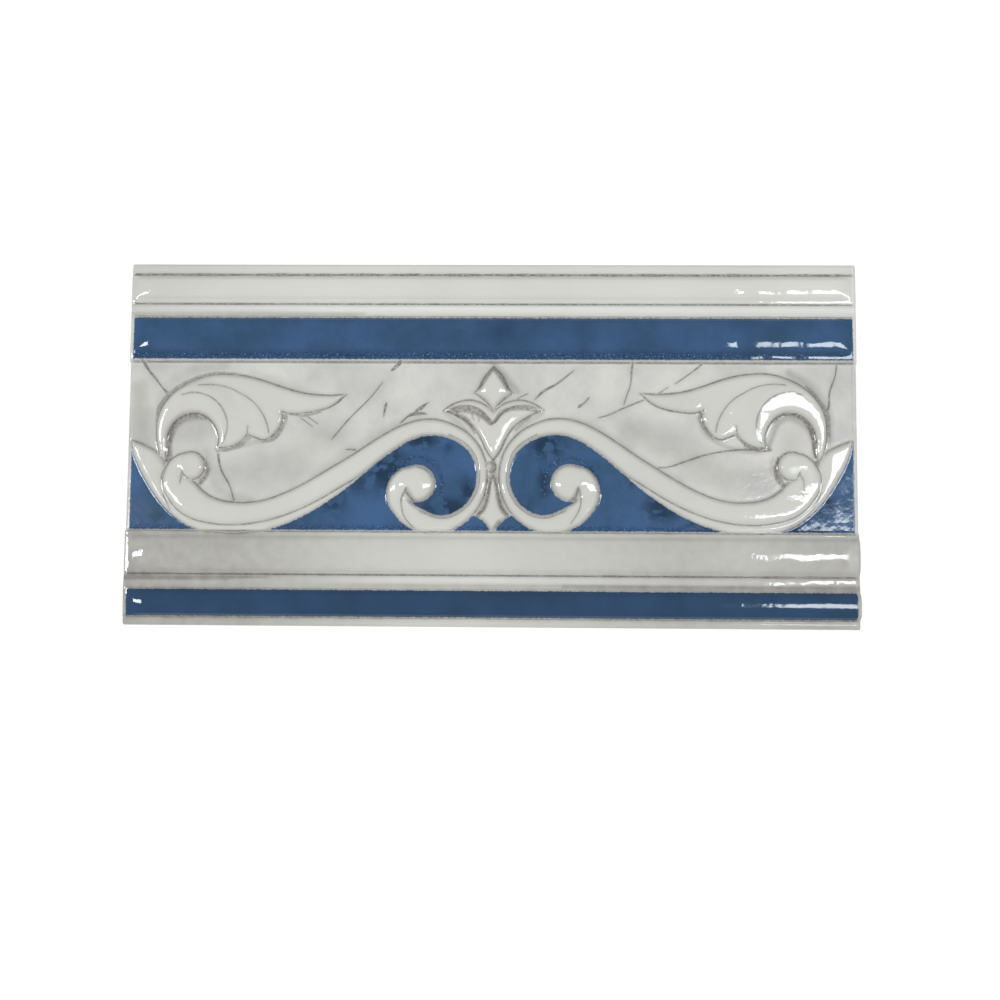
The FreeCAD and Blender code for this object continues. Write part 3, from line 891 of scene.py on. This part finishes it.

# %% Grey and painted shade along the mouldings: points as place along the tile, height over the line, half width
moulding_grey_and_painted_shade = (
    ("band_groove", [(-100.0, -1.1, 1.7), (-80.0, -1.1, 1.5), (-56.0, -1.0, 0.1)], 1.1),
    # These two are painted shade in the lower half of the lower hollow, darker towards its right end.
    ("lower_blue_top", [(-100.0, 1.0, 1.6), (0.0, 1.0, 1.6), (100.0, 1.0, 1.9)], 0.5),
    ("lower_blue_top", [(20.0, 1.0, 1.0), (60.0, 1.0, 1.6), (100.0, 1.0, 1.9)], 0.95),
    ("upper_blue_foot", [(-99.0, -0.45, 0.4), (99.0, -0.45, 0.4)], 0.55),
    # Painted shade along the upper side of the grey band.
    ("frieze_foot", [(-100.0, -1.2, 2.0), (-40.0, -1.2, 1.8), (100.0, -1.2, 1.8)], 0.1),
    # Painted shade in the lower half of the upper hollow, towards its left end.
    ("upper_blue_top", [(-100.0, 0.9, 1.3), (-60.0, 0.9, 1.2), (-35.0, 0.6, 0.6)], 0.45))
for name, points, tone in moulding_grey_and_painted_shade:
    brush([(x, levels[name] + over, half) for x, over, half in points], tone)

right_end = 98.8
brush([(right_end, levels["upper_blue_foot"], 0.35), (right_end, levels["frieze_foot"], 0.35)], 0.4)
print(len(moulding_grey_and_painted_shade) + 1, "washes")

# %% Painted light in the upper halves of two hollows
# The upper halves of the two hollows are painted paler: painted light where they face the lamps.
upper_painted_light = np.interp(grid_x, (-100, -80, -20, 10, 100), (0.0, 0.5, 1.0, 0.9, 0.6))
lower_painted_light = np.interp(grid_x, (-60, -30, 10, 100), (0.0, 0.8, 0.8, 0.2))
painted_light = upper_painted_light * stripe(levels["roll_groove"], -1.3, 0.9)
painted_light = np.maximum(painted_light, lower_painted_light * stripe(levels["band_groove"], -1.2, 0.8))
print("paler points:", int((painted_light > 0.3).sum()))

# %% [markdown]
# ## Height of every point
#
# The frieze's points rise by the lift of their form and the swell between its lines, and sink a little
# along each line, where the pigment settles. The rolls die out before the ends, so that each one closes in
# a dome; only the right ends of the lower mouldings stay blunt. The whole face turns down in a small lip. A
# slow unevenness, a few hundredths of a millimetre deep in the frieze and up to a tenth on the mouldings,
# is what breaks up the reflections on a real fired face.

# %% Relief of the frieze
swell_rise = 0.52
line_depth = 0.12
line_width = 0.35
border_run = 0.8

in_frieze = (grid_y < levels["frieze_top"] - 0.1) & (grid_y > levels["frieze_foot"] + 0.1)
swell = swell_rise * (1 - np.exp(-1 / np.maximum(crowd, 1e-3)))
# The bend of the stem and the corner leaf of the right half came out flatter than the rest.
flatter = np.zeros(count)
pool(flatter, 83.0, -16.0, 8.0, 5.0, 0.5)
pool(flatter, 95.5, -3.5, 4.0, 6.5, 0.5)
relief = lift + ramp(inside, 0.0, 0.5) * swell * cushion * (1 - flatter)
relief -= line_depth * np.exp(-(line_gap / line_width) ** 2)
border_gap = np.minimum(levels["frieze_top"] - grid_y, grid_y - levels["frieze_foot"])
relief *= ramp(border_gap, 0.0, border_run)
print("highest relief", round(float(relief.max()), 2), "mm")

# %% Rolls that die out before the ends
roll_end = 1.2
roll_fade = 4.8

to_end = half_length - np.abs(grid_x)
blunt_end = (grid_x > 0) & (grid_y < levels["frieze_foot"])
ebb = np.where(blunt_end, 0.0, np.clip(1 - (to_end - roll_end) / roll_fade, 0, 1))
height = grid_z + np.where(in_frieze, relief, grid_stand * (1 - ebb ** 2))
print("highest roll", round(float(height.max()), 2), "mm")

# %% Unevenness of the fired face
roll_wave = 0.08
slow_wave = 0.022
quick_wave = 0.005


def unevenness(length, width, layer):
    """Smooth noise with lumps about this long and wide in millimetres; each layer is another pattern."""
    return np.array([noise.noise(Vector((x / length, y / width, layer))) for x, y in spots])


# The lower blue roll is the smoothest, then the upper roll and the lower band, then the rest.
liveliness = np.select(
    [grid_y < levels["lower_blue_top"], grid_y < levels["frieze_foot"], grid_y > levels["roll_groove"]],
    [0.2, 0.6, 0.5], default=1.3)
height += roll_wave * liveliness * np.where(in_frieze, 0.0, unevenness(5.0, 4.5, 3.0))
height += slow_wave * unevenness(9.0, 5.0, 0.0)
height += quick_wave * unevenness(3.2, 2.4, 7.0)
print("face now up to", round(float(height.max()), 2), "mm")

# %% Marks of the hand
wipe_depth = 0.04
wipe_place = 92.4
wipe_spacing = 7.6
pooled_slope = 0.01
wisp = 0.05

# The top of the upper roll is flatter in a few places near its right end, where it was wiped by hand.
roll_middle = (levels["upper_groove"] + levels["roll_groove"] + roll_apron) / 2
across_roll = np.clip((roll_middle - grid_y) / (upper_roll / 2), -1, 1)
wiped = np.cos(2 * math.pi * (grid_x - wipe_place) / wipe_spacing) * ramp(grid_x, 50.0, 75.0)
height -= wipe_depth * wiped * (1 - across_roll ** 2) ** 2 * (1 - ebb ** 2)

# Glaze pooled towards the lower lip of the frieze, and streaked by the brush in its right corner.
height += pooled_slope * in_frieze * np.clip(-12.0 - grid_y, 0, 12.5)
in_corner = ramp(grid_x, 82.0, 88.0) * ramp(-grid_y, 11.0, 15.0) * ramp(-inside, 0.0, 1.0)
height += wisp * in_frieze * in_corner * unevenness(1.6, 9.0, 9.0)
print("wiped to", round(float(wiped.max() * wipe_depth), 2), "mm deep")

# %% The lower hollow
cove_tilt = 0.1
crumple = 0.07
crumple_reach = 1.8

# Smooth and tilted along most of its length, level and crumpled at its right end.
into_cove = np.clip((levels["band_groove"] - grid_y) / cove_flat, 0, 2)
at_right = ramp(grid_x, 84.0, 89.0)
height += cove_tilt * (1 - at_right) * np.clip(1 - np.abs(into_cove - 1), 0, 1)
in_cove = np.clip(crumple_reach - np.abs(grid_y - levels["band_groove"] + 1.2), 0, 1)
height += crumple * at_right * in_cove * unevenness(1.5, 1.2, 5.0)
print("crumpled points:", int((at_right * in_cove > 0).sum()))

# %% Turn the ends down
end_lip = 0.9
crest = high.z / mm
lip_in = np.clip(1 - to_end / end_lip, 0, 1)
height -= end_lip * (1 - np.sqrt(1 - lip_in ** 2))
height = np.minimum(height, crest)
mesh.vertices.foreach_set("co", (np.stack([grid_x, grid_y, height], 1) * mm).ravel())
print("face from", round(height.min(), 2), "to", round(height.max(), 2), "mm above the back")

# %% [markdown]
# ## Sides and back
#
# The sheet becomes a closed body by drawing its rim straight down, once to a small chamfer and once to the
# bed, and closing the foot with one face. The back of a pressed tile has keying recesses for the adhesive.
# `bisect_plane` cuts the back along their long and short sides, and the strips between the cuts are pushed
# in with an extrusion.

# %% Draw the rim down and close the foot
foot_chamfer = 0.4

body = bmesh.new()
body.from_mesh(mesh)
body.verts.ensure_lookup_table()
# One light smoothing takes the small steps out of the frieze's walls.
soft = [body.verts[i] for i in np.flatnonzero(in_frieze & (np.abs(grid_x) < half_length - 1.0))]
bmesh.ops.smooth_vert(body, verts=soft, factor=0.5, use_axis_z=True)

for z, shrink in ((foot_chamfer, 0.0), (0.0, foot_chamfer)):
    rim = [edge for edge in body.edges if edge.is_boundary]
    drawn = bmesh.ops.extrude_edge_only(body, edges=rim)["geom"]
    for vertex in (item for item in drawn if isinstance(item, bmesh.types.BMVert)):
        vertex.co.z = z * mm
        vertex.co.x *= 1 - shrink / half_length
        vertex.co.y *= 1 - shrink / half_width
foot = [edge for edge in body.edges if edge.is_boundary]
back = bmesh.ops.contextual_create(body, geom=foot)["faces"]
print("back of", len(back[0].verts), "points")

# %% Press the recesses into the back
key_count = 7
key_width = 6.0
key_pitch = 12.5
key_depth = 0.9
key_end_margin = 9.0
bed_slack = 1e-6


def on_bed(facet):
    """Whether a face lies on the bed."""
    return facet.calc_center_median().z < bed_slack


key_rows = [key_pitch * (row - (key_count - 1) / 2) for row in range(key_count)]
key_end = half_length - key_end_margin
cuts = [((0, y + turn * key_width / 2, 0), (0, 1, 0)) for y in key_rows for turn in (1, -1)]
cuts += [((turn * key_end, 0, 0), (1, 0, 0)) for turn in (1, -1)]
for place, normal in cuts:
    flat = [facet for facet in body.faces if on_bed(facet)]
    bounds = {point for facet in flat for point in facet.verts}
    bounds |= {edge for facet in flat for edge in facet.edges}
    bmesh.ops.bisect_plane(
        body, geom=flat + list(bounds), dist=1e-7, plane_co=Vector(place) * mm, plane_no=normal)
for y in key_rows:
    recess = []
    for facet in filter(on_bed, body.faces):
        middle = facet.calc_center_median()
        if abs(middle.x) < key_end * mm and abs(middle.y - y * mm) < key_width / 2 * mm:
            recess.append(facet)
    pushed = bmesh.ops.extrude_face_region(body, geom=recess)["geom"]
    bmesh.ops.delete(body, geom=recess, context="FACES")
    pushed_points = [item for item in pushed if isinstance(item, bmesh.types.BMVert)]
    bmesh.ops.translate(body, vec=(0, 0, key_depth * mm), verts=pushed_points)
print(key_count, "recesses")

# %% Hand over the finished body
bmesh.ops.recalc_face_normals(body, faces=body.faces)
open_edges = sum(len(edge.link_faces) != 2 for edge in body.edges)
body.to_mesh(mesh)
body.free()
tile = bpy.data.objects.new("glazed_border_tile", mesh)
bpy.context.collection.objects.link(tile)
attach(tile, "root")
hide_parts("border_tile")
triangles = sum(len(polygon.vertices) - 2 for polygon in mesh.polygons)
print(len(mesh.polygons), "faces,", triangles, "triangles,", open_edges, "open edges")

# %% [markdown]
# ## Handing the painting to the shader
#
# What was worked out in numpy goes onto the mesh as attributes: one number for each point, or for each
# corner of a face in the case of the lines.

# %% Where the glaze is thin and dry
end_dry = ramp(-to_end, -1.5, -0.9) * (grid_x > 0)
lip_dry = ramp(-np.abs(grid_y - levels["frieze_top"]), -1.0, -0.5)
ground_dry = np.where(grid_x > 80.0, 0.03, 0.12) * in_frieze * ramp(-inside, 0.3, 0.8)
band_dry = 0.55 * ramp(-to_end, -4.4, -2.4) * blunt_end * (grid_y > levels["band_groove"])
dry = np.max([end_dry, lip_dry, ground_dry, band_dry], axis=0)
pool(dry, 84.0, -8.2, 2.4, 2.0, 0.6)
print("dry points:", int((dry > 0.3).sum()))

# %% Gather the values of the lines and of the points
sheet_faces = len(corners)
loops = np.empty(len(mesh.loops), int)
mesh.loops.foreach_get("vertex_index", loops)
sheet_loops = loops[:4 * sheet_faces].reshape(-1, 4)
assert (np.sort(sheet_loops, 1) == np.sort(corners, 1)).all()

stroke_signed = np.array([stroke[0] for stroke in strokes], np.float32)
stroke_half = np.array([stroke[1] for stroke in strokes], np.float32)
stroke_tone = np.array([stroke[2] for stroke in strokes], np.float32)
corner_values = {
    "line_offset": stroke_signed[face_stroke[:, None], sheet_loops],
    "line_half": stroke_half[face_stroke[:, None], sheet_loops],
    "line_tone": np.repeat(stroke_tone[face_stroke][:, None], 4, 1),
}
point_values = {
    "paint_gap": paint_gap, "halo": halo, "grey_and_painted_shade": grey_and_painted_shade, "blue": blue, "deep": deep, "grain": grain,
    "painted_light": painted_light, "dry": dry, "ground": ramp(-inside, 0.0, 0.3) * in_frieze, "frieze": in_frieze,
}
print(len(corner_values), "values at the corners and", len(point_values), "at the points")

# %% Store them as attributes
elsewhere = {"line_offset": far_away, "paint_gap": far_away, "blue": -far_away}
for domain, total, table in (
        ("CORNER", len(mesh.loops), corner_values),
        ("POINT", len(mesh.vertices), point_values)):
    for name, values in table.items():
        full = np.full(total, elsewhere.get(name, 0.0), np.float32)
        full[:values.size] = values.ravel()
        mesh.attributes.new(name, "FLOAT", domain).data.foreach_set("value", full)

on_face = np.arange(len(mesh.polygons)) < sheet_faces
mesh.polygons.foreach_set("use_smooth", on_face)
mesh.polygons.foreach_set("material_index", (~on_face).astype(np.int32))
print(int(on_face.sum()), "smooth faces under the glaze")

# %% [markdown]
# ## Glazed earthenware
#
# The face is white earthenware under clear glaze, with the colour between them. To the eye that is a pale
# warm grey with faint clouds, a matt grey brush line that gathers in the grooves, and a deep cobalt blue
# that is uneven because it was flooded on by hand, all under one hard, wet-looking gloss. The gloss is a
# smooth dielectric: its IOR is the default 1.5, near that of real glaze, and its roughness is 0.05 to 0.09,
# more where the glaze is thin and dry. The clouds, the ragged edges of the lines and the grains are noise
# at their real sizes.
#
# In a Mix node of colours, inputs 6 and 7 are the two colours and output 2 is the result.


# %% Small helpers for materials
def srgb(code):
    """A colour picked as it looks on screen, as the linear light the shader works with."""
    parts = [int(code[i:i + 2], 16) / 255 for i in (1, 3, 5)]
    return [*(part / 12.92 if part <= 0.04045 else ((part + 0.055) / 1.055) ** 2.4 for part in parts), 1.0]


def add(tree, kind, inputs=(), **settings):
    """Add a node with its settings, and link or fill its inputs; gives back the node's outputs."""
    node = tree.nodes.new("ShaderNode" + kind)
    for key, value in settings.items():
        setattr(node, key, value)
    for socket, value in dict(inputs).items():
        if isinstance(value, bpy.types.NodeSocket):
            tree.links.new(value, node.inputs[socket])
        else:
            node.inputs[socket].default_value = value
    return node.outputs


def noise_size(size):
    """The scale of a noise whose lumps are this many millimetres across."""
    return 1 / (size * mm)


# %% Noises of the glaze, by the size of their lumps
glaze = bpy.data.materials.new("glazed earthenware")
glaze.use_nodes = True
tree = glaze.node_tree
place = add(tree, "TexCoord")["Object"]
painted = {
    name: add(tree, "Attribute", attribute_name=name)["Fac"]
    for name in (*corner_values, *point_values)}

fine = add(tree, "TexNoise", {"Vector": place, "Scale": noise_size(0.8), "Detail": 3.0})["Fac"]
medium = add(tree, "TexNoise", {"Vector": place, "Scale": noise_size(3.0), "Detail": 3.0})["Fac"]
cloud = add(tree, "TexNoise", {
    "Vector": place, "Scale": noise_size(11.0), "Detail": 4.0, "Roughness": 0.6})["Fac"]
wide = add(tree, "TexNoise", {"Vector": place, "Scale": noise_size(32.0), "Detail": 2.0})["Fac"]
print(len(painted), "attributes read")

# %% Pale glaze, clouded on the ground, and paler in two hollows as painted light
plain = add(tree, "MapRange", {
    "Value": wide, "From Min": 0.35, "From Max": 0.65, "To Min": 0.0, "To Max": 0.25})[0]
mottle = add(tree, "MapRange", {
    "Value": cloud, "From Min": 0.35, "From Max": 0.68, "To Min": 0.15, "To Max": 1.0})[0]
mottle = add(tree, "Mix", {"Factor": painted["ground"], "A": plain, "B": mottle})[0]
pale = add(tree, "Mix", {"Factor": mottle, 6: srgb("#D5D4CD"), 7: srgb("#BFBEBB")}, data_type="RGBA")[2]
# The paler colour in two hollows is painted light.
pale = add(tree, "Mix", {"Factor": painted["painted_light"], 6: pale, 7: srgb("#E2E2DE")}, data_type="RGBA")[2]
print(len(tree.nodes), "nodes")

# %% Soft grey from the brush, and painted shade: washes, streaked, and the halo beside each line
streaks = add(tree, "MapRange", {
    "Value": medium, "From Min": 0.3, "From Max": 0.7, "To Min": 0.82, "To Max": 1.08})[0]
# The grey here includes painted shade in the hollows and on the grey band.
shade = add(tree, "Math", {0: painted["grey_and_painted_shade"], 1: streaks}, operation="MULTIPLY")[0]
shade = add(tree, "Math", {
    0: painted["halo"], 1: 0.4, 2: shade}, operation="MULTIPLY_ADD", use_clamp=True)[0]
bristles = add(tree, "MapRange", {
    "Value": fine, "From Min": 0.36, "From Max": 0.62, "To Min": -0.3, "To Max": 0.15})[0]
strong = add(tree, "MapRange", {"Value": shade, "From Min": 0.5, "From Max": 0.9})[0]
strong = add(tree, "Math", {0: strong, 1: painted["frieze"]}, operation="MULTIPLY")[0]
shade = add(tree, "Math", {0: strong, 1: bristles, 2: shade}, operation="MULTIPLY_ADD", use_clamp=True)[0]
shaded = add(tree, "Mix", {"Factor": shade, 6: pale, 7: srgb("#8A8682")}, data_type="RGBA")[2]
print(len(tree.nodes), "nodes")

# %% Cobalt blue, darker where it pooled
flood = add(tree, "MapRange", {"Value": cloud, "From Min": 0.36, "From Max": 0.66})[0]
cobalt = add(tree, "Mix", {"Factor": flood, 6: srgb("#3D5E88"), 7: srgb("#315070")}, data_type="RGBA")[2]
pooled = add(tree, "MapRange", {
    "Value": medium, "From Min": 0.42, "From Max": 0.52, "To Min": 0.1, "To Max": 1.35})[0]
pooled = add(tree, "Mix", {"Factor": painted["ground"], "A": 0.8, "B": pooled})[0]
pooled = add(tree, "Math", {0: painted["deep"], 1: pooled}, operation="MULTIPLY")[0]
cobalt = add(tree, "Mix", {"Factor": pooled, 6: cobalt, 7: srgb("#1A344C")}, data_type="RGBA")[2]
print(len(tree.nodes), "nodes")

# %% Undissolved grains near some edges of the blue
speck = add(tree, "TexNoise", {"Vector": place, "Scale": noise_size(0.42), "Detail": 1.0})["Fac"]
dark_grain = add(tree, "MapRange", {
    "Value": fine, "From Min": 0.42, "From Max": 0.56, "To Min": 0.2, "To Max": 0.9})[0]
dark_grain = add(tree, "Math", {0: dark_grain, 1: painted["grain"]}, operation="MULTIPLY")[0]
cobalt = add(tree, "Mix", {"Factor": dark_grain, 6: cobalt, 7: srgb("#1A3152")}, data_type="RGBA")[2]
light_grain = add(tree, "MapRange", {"Value": speck, "From Min": 0.63, "From Max": 0.73})[0]
light_grain = add(tree, "Math", {0: light_grain, 1: painted["grain"]}, operation="MULTIPLY")[0]
cobalt = add(tree, "Mix", {"Factor": light_grain, 6: cobalt, 7: srgb("#7699BF")}, data_type="RGBA")[2]
print(len(tree.nodes), "nodes")

# %% Blue inside its ragged edge
ragged = add(tree, "MapRange", {
    "Value": fine, "From Min": 0.3, "From Max": 0.7, "To Min": -0.11, "To Max": 0.11})[0]
blue_depth = add(tree, "Math", {0: painted["blue"], 1: ragged})[0]
blue_mask = add(tree, "MapRange", {
    "Value": blue_depth, "From Min": -0.05, "From Max": 0.32}, interpolation_type="SMOOTHSTEP")[0]
coloured = add(tree, "Mix", {"Factor": blue_mask, 6: shaded, 7: cobalt}, data_type="RGBA")[2]
print(len(tree.nodes), "nodes")

# %% Brush lines: the distance to the line, less its half width there, made uneven
offset = add(tree, "Math", {0: painted["line_offset"]}, operation="ABSOLUTE")[0]
swollen = add(tree, "MapRange", {
    "Value": medium, "From Min": 0.3, "From Max": 0.7, "To Min": 0.7, "To Max": 1.35})[0]
line_half_here = add(tree, "Math", {0: painted["line_half"], 1: swollen}, operation="MULTIPLY")[0]
outside_line = add(tree, "Math", {0: offset, 1: line_half_here}, operation="SUBTRACT")[0]
outside_line = add(tree, "Math", {0: ragged, 1: 0.85, 2: outside_line}, operation="MULTIPLY_ADD")[0]
line_mask = add(tree, "MapRange", {
    "Value": outside_line, "From Min": 0.16, "From Max": -0.08}, interpolation_type="SMOOTHSTEP")[0]
line_near = add(tree, "MapRange", {
    "Value": painted["paint_gap"], "From Min": 0.5, "From Max": 0.25})[0]
line_mask = add(tree, "Math", {0: line_mask, 1: line_near}, operation="MULTIPLY")[0]
print(len(tree.nodes), "nodes")

# %% Tone of the lines: broken by the bristles, and fainter beside the blue
dense = add(tree, "MapRange", {
    "Value": fine, "From Min": 0.35, "From Max": 0.6, "To Min": 0.45, "To Max": 1.1})[0]
line_mask = add(tree, "Math", {0: line_mask, 1: dense}, operation="MULTIPLY")[0]
line_mask = add(tree, "Math", {
    0: line_mask, 1: painted["line_tone"]}, operation="MULTIPLY", use_clamp=True)[0]
by_blue = add(tree, "MapRange", {
    "Value": painted["blue"], "From Min": -0.5, "From Max": 0.1, "To Min": 1.0, "To Max": 0.45})[0]
line_mask = add(tree, "Math", {0: line_mask, 1: by_blue}, operation="MULTIPLY")[0]
coloured = add(tree, "Mix", {"Factor": line_mask, 6: coloured, 7: srgb("#5F5B58")}, data_type="RGBA")[2]
print(len(tree.nodes), "nodes")

# %% Gloss, and the fine ripple of the fired glaze
ripple_depth = 0.03
gloss = add(tree, "MapRange", {
    "Value": cloud, "From Min": 0.3, "From Max": 0.7, "To Min": 0.05, "To Max": 0.09})[0]
gloss = add(tree, "Math", {0: painted["dry"], 1: 0.6, 2: gloss}, operation="MULTIPLY_ADD")[0]
crinkle = add(tree, "TexNoise", {"Vector": place, "Scale": noise_size(1.8), "Detail": 1.0})["Fac"]
ripple = add(tree, "Bump", {"Height": crinkle, "Strength": 1.0, "Distance": ripple_depth * mm})[0]
shader = tree.nodes["Principled BSDF"]
tree.links.new(coloured, shader.inputs["Base Color"])
tree.links.new(gloss, shader.inputs["Roughness"])
tree.links.new(ripple, shader.inputs["Normal"])
mesh.materials.append(glaze)
print(glaze.name, "has", len(tree.nodes), "nodes")

# %% [markdown]
# ## Earthenware biscuit
#
# Below the glaze the sides and the back are bare fired clay: creamy, quite matt, with fine dark specks. The
# specks are drawn 0.6 mm wide, coarser than real ones, so that they show. The glaze runs a little way over
# the rim and stops in a wavy edge, so the material turns glossy above it.

# %% Biscuit of the sides and the back
glaze_edge = (6.8, 7.1)
drip = 4.0
tooth_depth = 0.06
biscuit = bpy.data.materials.new("earthenware biscuit")
biscuit.use_nodes = True
tree = biscuit.node_tree
place = add(tree, "TexCoord")["Object"]
above = add(tree, "SeparateXYZ", {"Vector": place})["Z"]
drips = add(tree, "TexNoise", {"Vector": place, "Scale": noise_size(7.0), "Detail": 2.0})["Fac"]
above = add(tree, "Math", {0: drips, 1: drip * mm, 2: above}, operation="MULTIPLY_ADD")[0]
glazed = add(tree, "MapRange", {
    "Value": above, "From Min": glaze_edge[0] * mm, "From Max": glaze_edge[1] * mm},
    interpolation_type="SMOOTHSTEP")[0]
clay = add(tree, "TexNoise", {
    "Vector": place, "Scale": noise_size(5.0), "Detail": 5.0, "Roughness": 0.65})["Fac"]
clay = add(tree, "MapRange", {"Value": clay, "From Min": 0.3, "From Max": 0.7})[0]
clay = add(tree, "Mix", {"Factor": clay, 6: srgb("#E3D9CB"), 7: srgb("#D3C6B4")}, data_type="RGBA")[2]
grit = add(tree, "TexNoise", {"Vector": place, "Scale": noise_size(0.6), "Detail": 2.0})["Fac"]
dots = add(tree, "MapRange", {
    "Value": grit, "From Min": 0.68, "From Max": 0.74, "To Min": 0.0, "To Max": 0.5})[0]
clay = add(tree, "Mix", {"Factor": dots, 6: clay, 7: srgb("#8F7F6B")}, data_type="RGBA")[2]
clay = add(tree, "Mix", {"Factor": glazed, 6: clay, 7: srgb("#CFCDC7")}, data_type="RGBA")[2]
matt = add(tree, "MapRange", {"Value": glazed, "To Min": 0.85, "To Max": 0.12})[0]
tooth = add(tree, "Bump", {"Height": grit, "Strength": 0.5, "Distance": tooth_depth * mm})[0]
shader = tree.nodes["Principled BSDF"]
tree.links.new(clay, shader.inputs["Base Color"])
tree.links.new(matt, shader.inputs["Roughness"])
tree.links.new(tooth, shader.inputs["Normal"])
mesh.materials.append(biscuit)
print([material.name for material in mesh.materials])

# %% [markdown]
# ## Camera, floor and light
#
# The photograph looks down on the tile, a little from its lower edge. The camera's place was worked out from
# the four corners of the tile in the picture.

# %% Camera
camera_x = 9.43
camera_y = -39.87
camera_height = 325.72
camera_turn = (0.075, 0.020, 0.007)
camera_data = bpy.data.cameras.new("camera")
camera_data.lens = 43.2
camera_data.sensor_width = 36.0
camera_data.clip_start = 0.01
camera = bpy.data.objects.new("camera", camera_data)
bpy.context.collection.objects.link(camera)
camera.location = Vector((camera_x, camera_y, camera_height + margin_z)) * mm
camera.rotation_euler = camera_turn
bpy.context.scene.camera = camera
print("camera", round(camera_height), "mm above the face")

# %% White paper floor, which keeps the soft shadow and looks white to the camera
floor_gap = 0.2
paper_glow = 1.1
glow_share = 0.75
bpy.ops.mesh.primitive_plane_add(size=4.0)
floor = bpy.context.object
floor.name = "floor"
floor.location.z = -floor_gap * mm
paper = bpy.data.materials.new("white paper")
paper.use_nodes = True
tree = paper.node_tree
seen = add(tree, "LightPath")["Is Camera Ray"]
seen = add(tree, "Math", {0: seen, 1: glow_share}, operation="MULTIPLY")[0]
glow = add(tree, "Emission", {"Color": (1, 1, 1, 1), "Strength": paper_glow})[0]
matt_paper = tree.nodes["Principled BSDF"]
matt_paper.inputs["Base Color"].default_value = srgb("#F2F2F2")
matt_paper.inputs["Roughness"].default_value = 0.9
surface = add(tree, "MixShader", {0: seen, 1: matt_paper.outputs[0], 2: glow})[0]
tree.links.new(surface, tree.nodes["Material Output"].inputs["Surface"])
floor.data.materials.append(paper)
print(floor.name, "lies", floor_gap, "mm below the tile")

# %% [markdown]
# A glossy tile is lit by what it mirrors. All its highlights fit one long bright strip that runs over the
# tile from left to right, with a gap in the middle where the camera is held: its right part shows along the
# right ends of the rolls, its left part only where a form turns down to the left. The place of the strip
# was found by turning each highlight's line of sight over at the surface. The other two lamps are large and
# dim: they light the clay evenly and stay out of the mirror.


# %% Lamps
ceiling_z = 0.9
warm_light = (1.0, 0.97, 0.96)
cool_light = (0.92, 0.98, 1.0)


def lamp_above(name, x_range, y_range, radiance, mirrored=True):
    """A rectangular lamp that lies face down between these places in the plane above the tile."""
    data = bpy.data.lights.new(name, "AREA")
    data.shape = "RECTANGLE"
    data.size = x_range[1] - x_range[0]
    data.size_y = y_range[1] - y_range[0]
    data.energy = radiance * math.pi * data.size * data.size_y
    data.color = cool_light if mirrored else warm_light
    lamp = bpy.data.objects.new(name, data)
    bpy.context.collection.objects.link(lamp)
    lamp.location = (sum(x_range) / 2, sum(y_range) / 2, ceiling_z)
    lamp.visible_glossy = mirrored


strip_y = (-0.092, 0.043)
lamp_above("strip right", (0.255, 1.3), strip_y, 15.0)
lamp_above("strip left", (-1.3, -0.455), strip_y, 22.0)
lamp_above("soft overhead", (-0.8, 0.3), (-0.4, 0.6), 0.35, mirrored=False)
lamp_above("soft front", (-0.8, 0.8), (-1.6, -0.8), 1.25, mirrored=False)
print(len(bpy.data.lights), "lamps at", ceiling_z, "m")

# %% Light of the room
room_strength = 0.315
world = bpy.data.worlds.new("world")
bpy.context.scene.world = world
world.use_nodes = True
room = world.node_tree.nodes["Background"]
room.inputs["Color"].default_value = (*warm_light, 1.0)
room.inputs["Strength"].default_value = room_strength
bpy.context.scene.view_settings.view_transform = "Standard"
print("room light", room_strength)
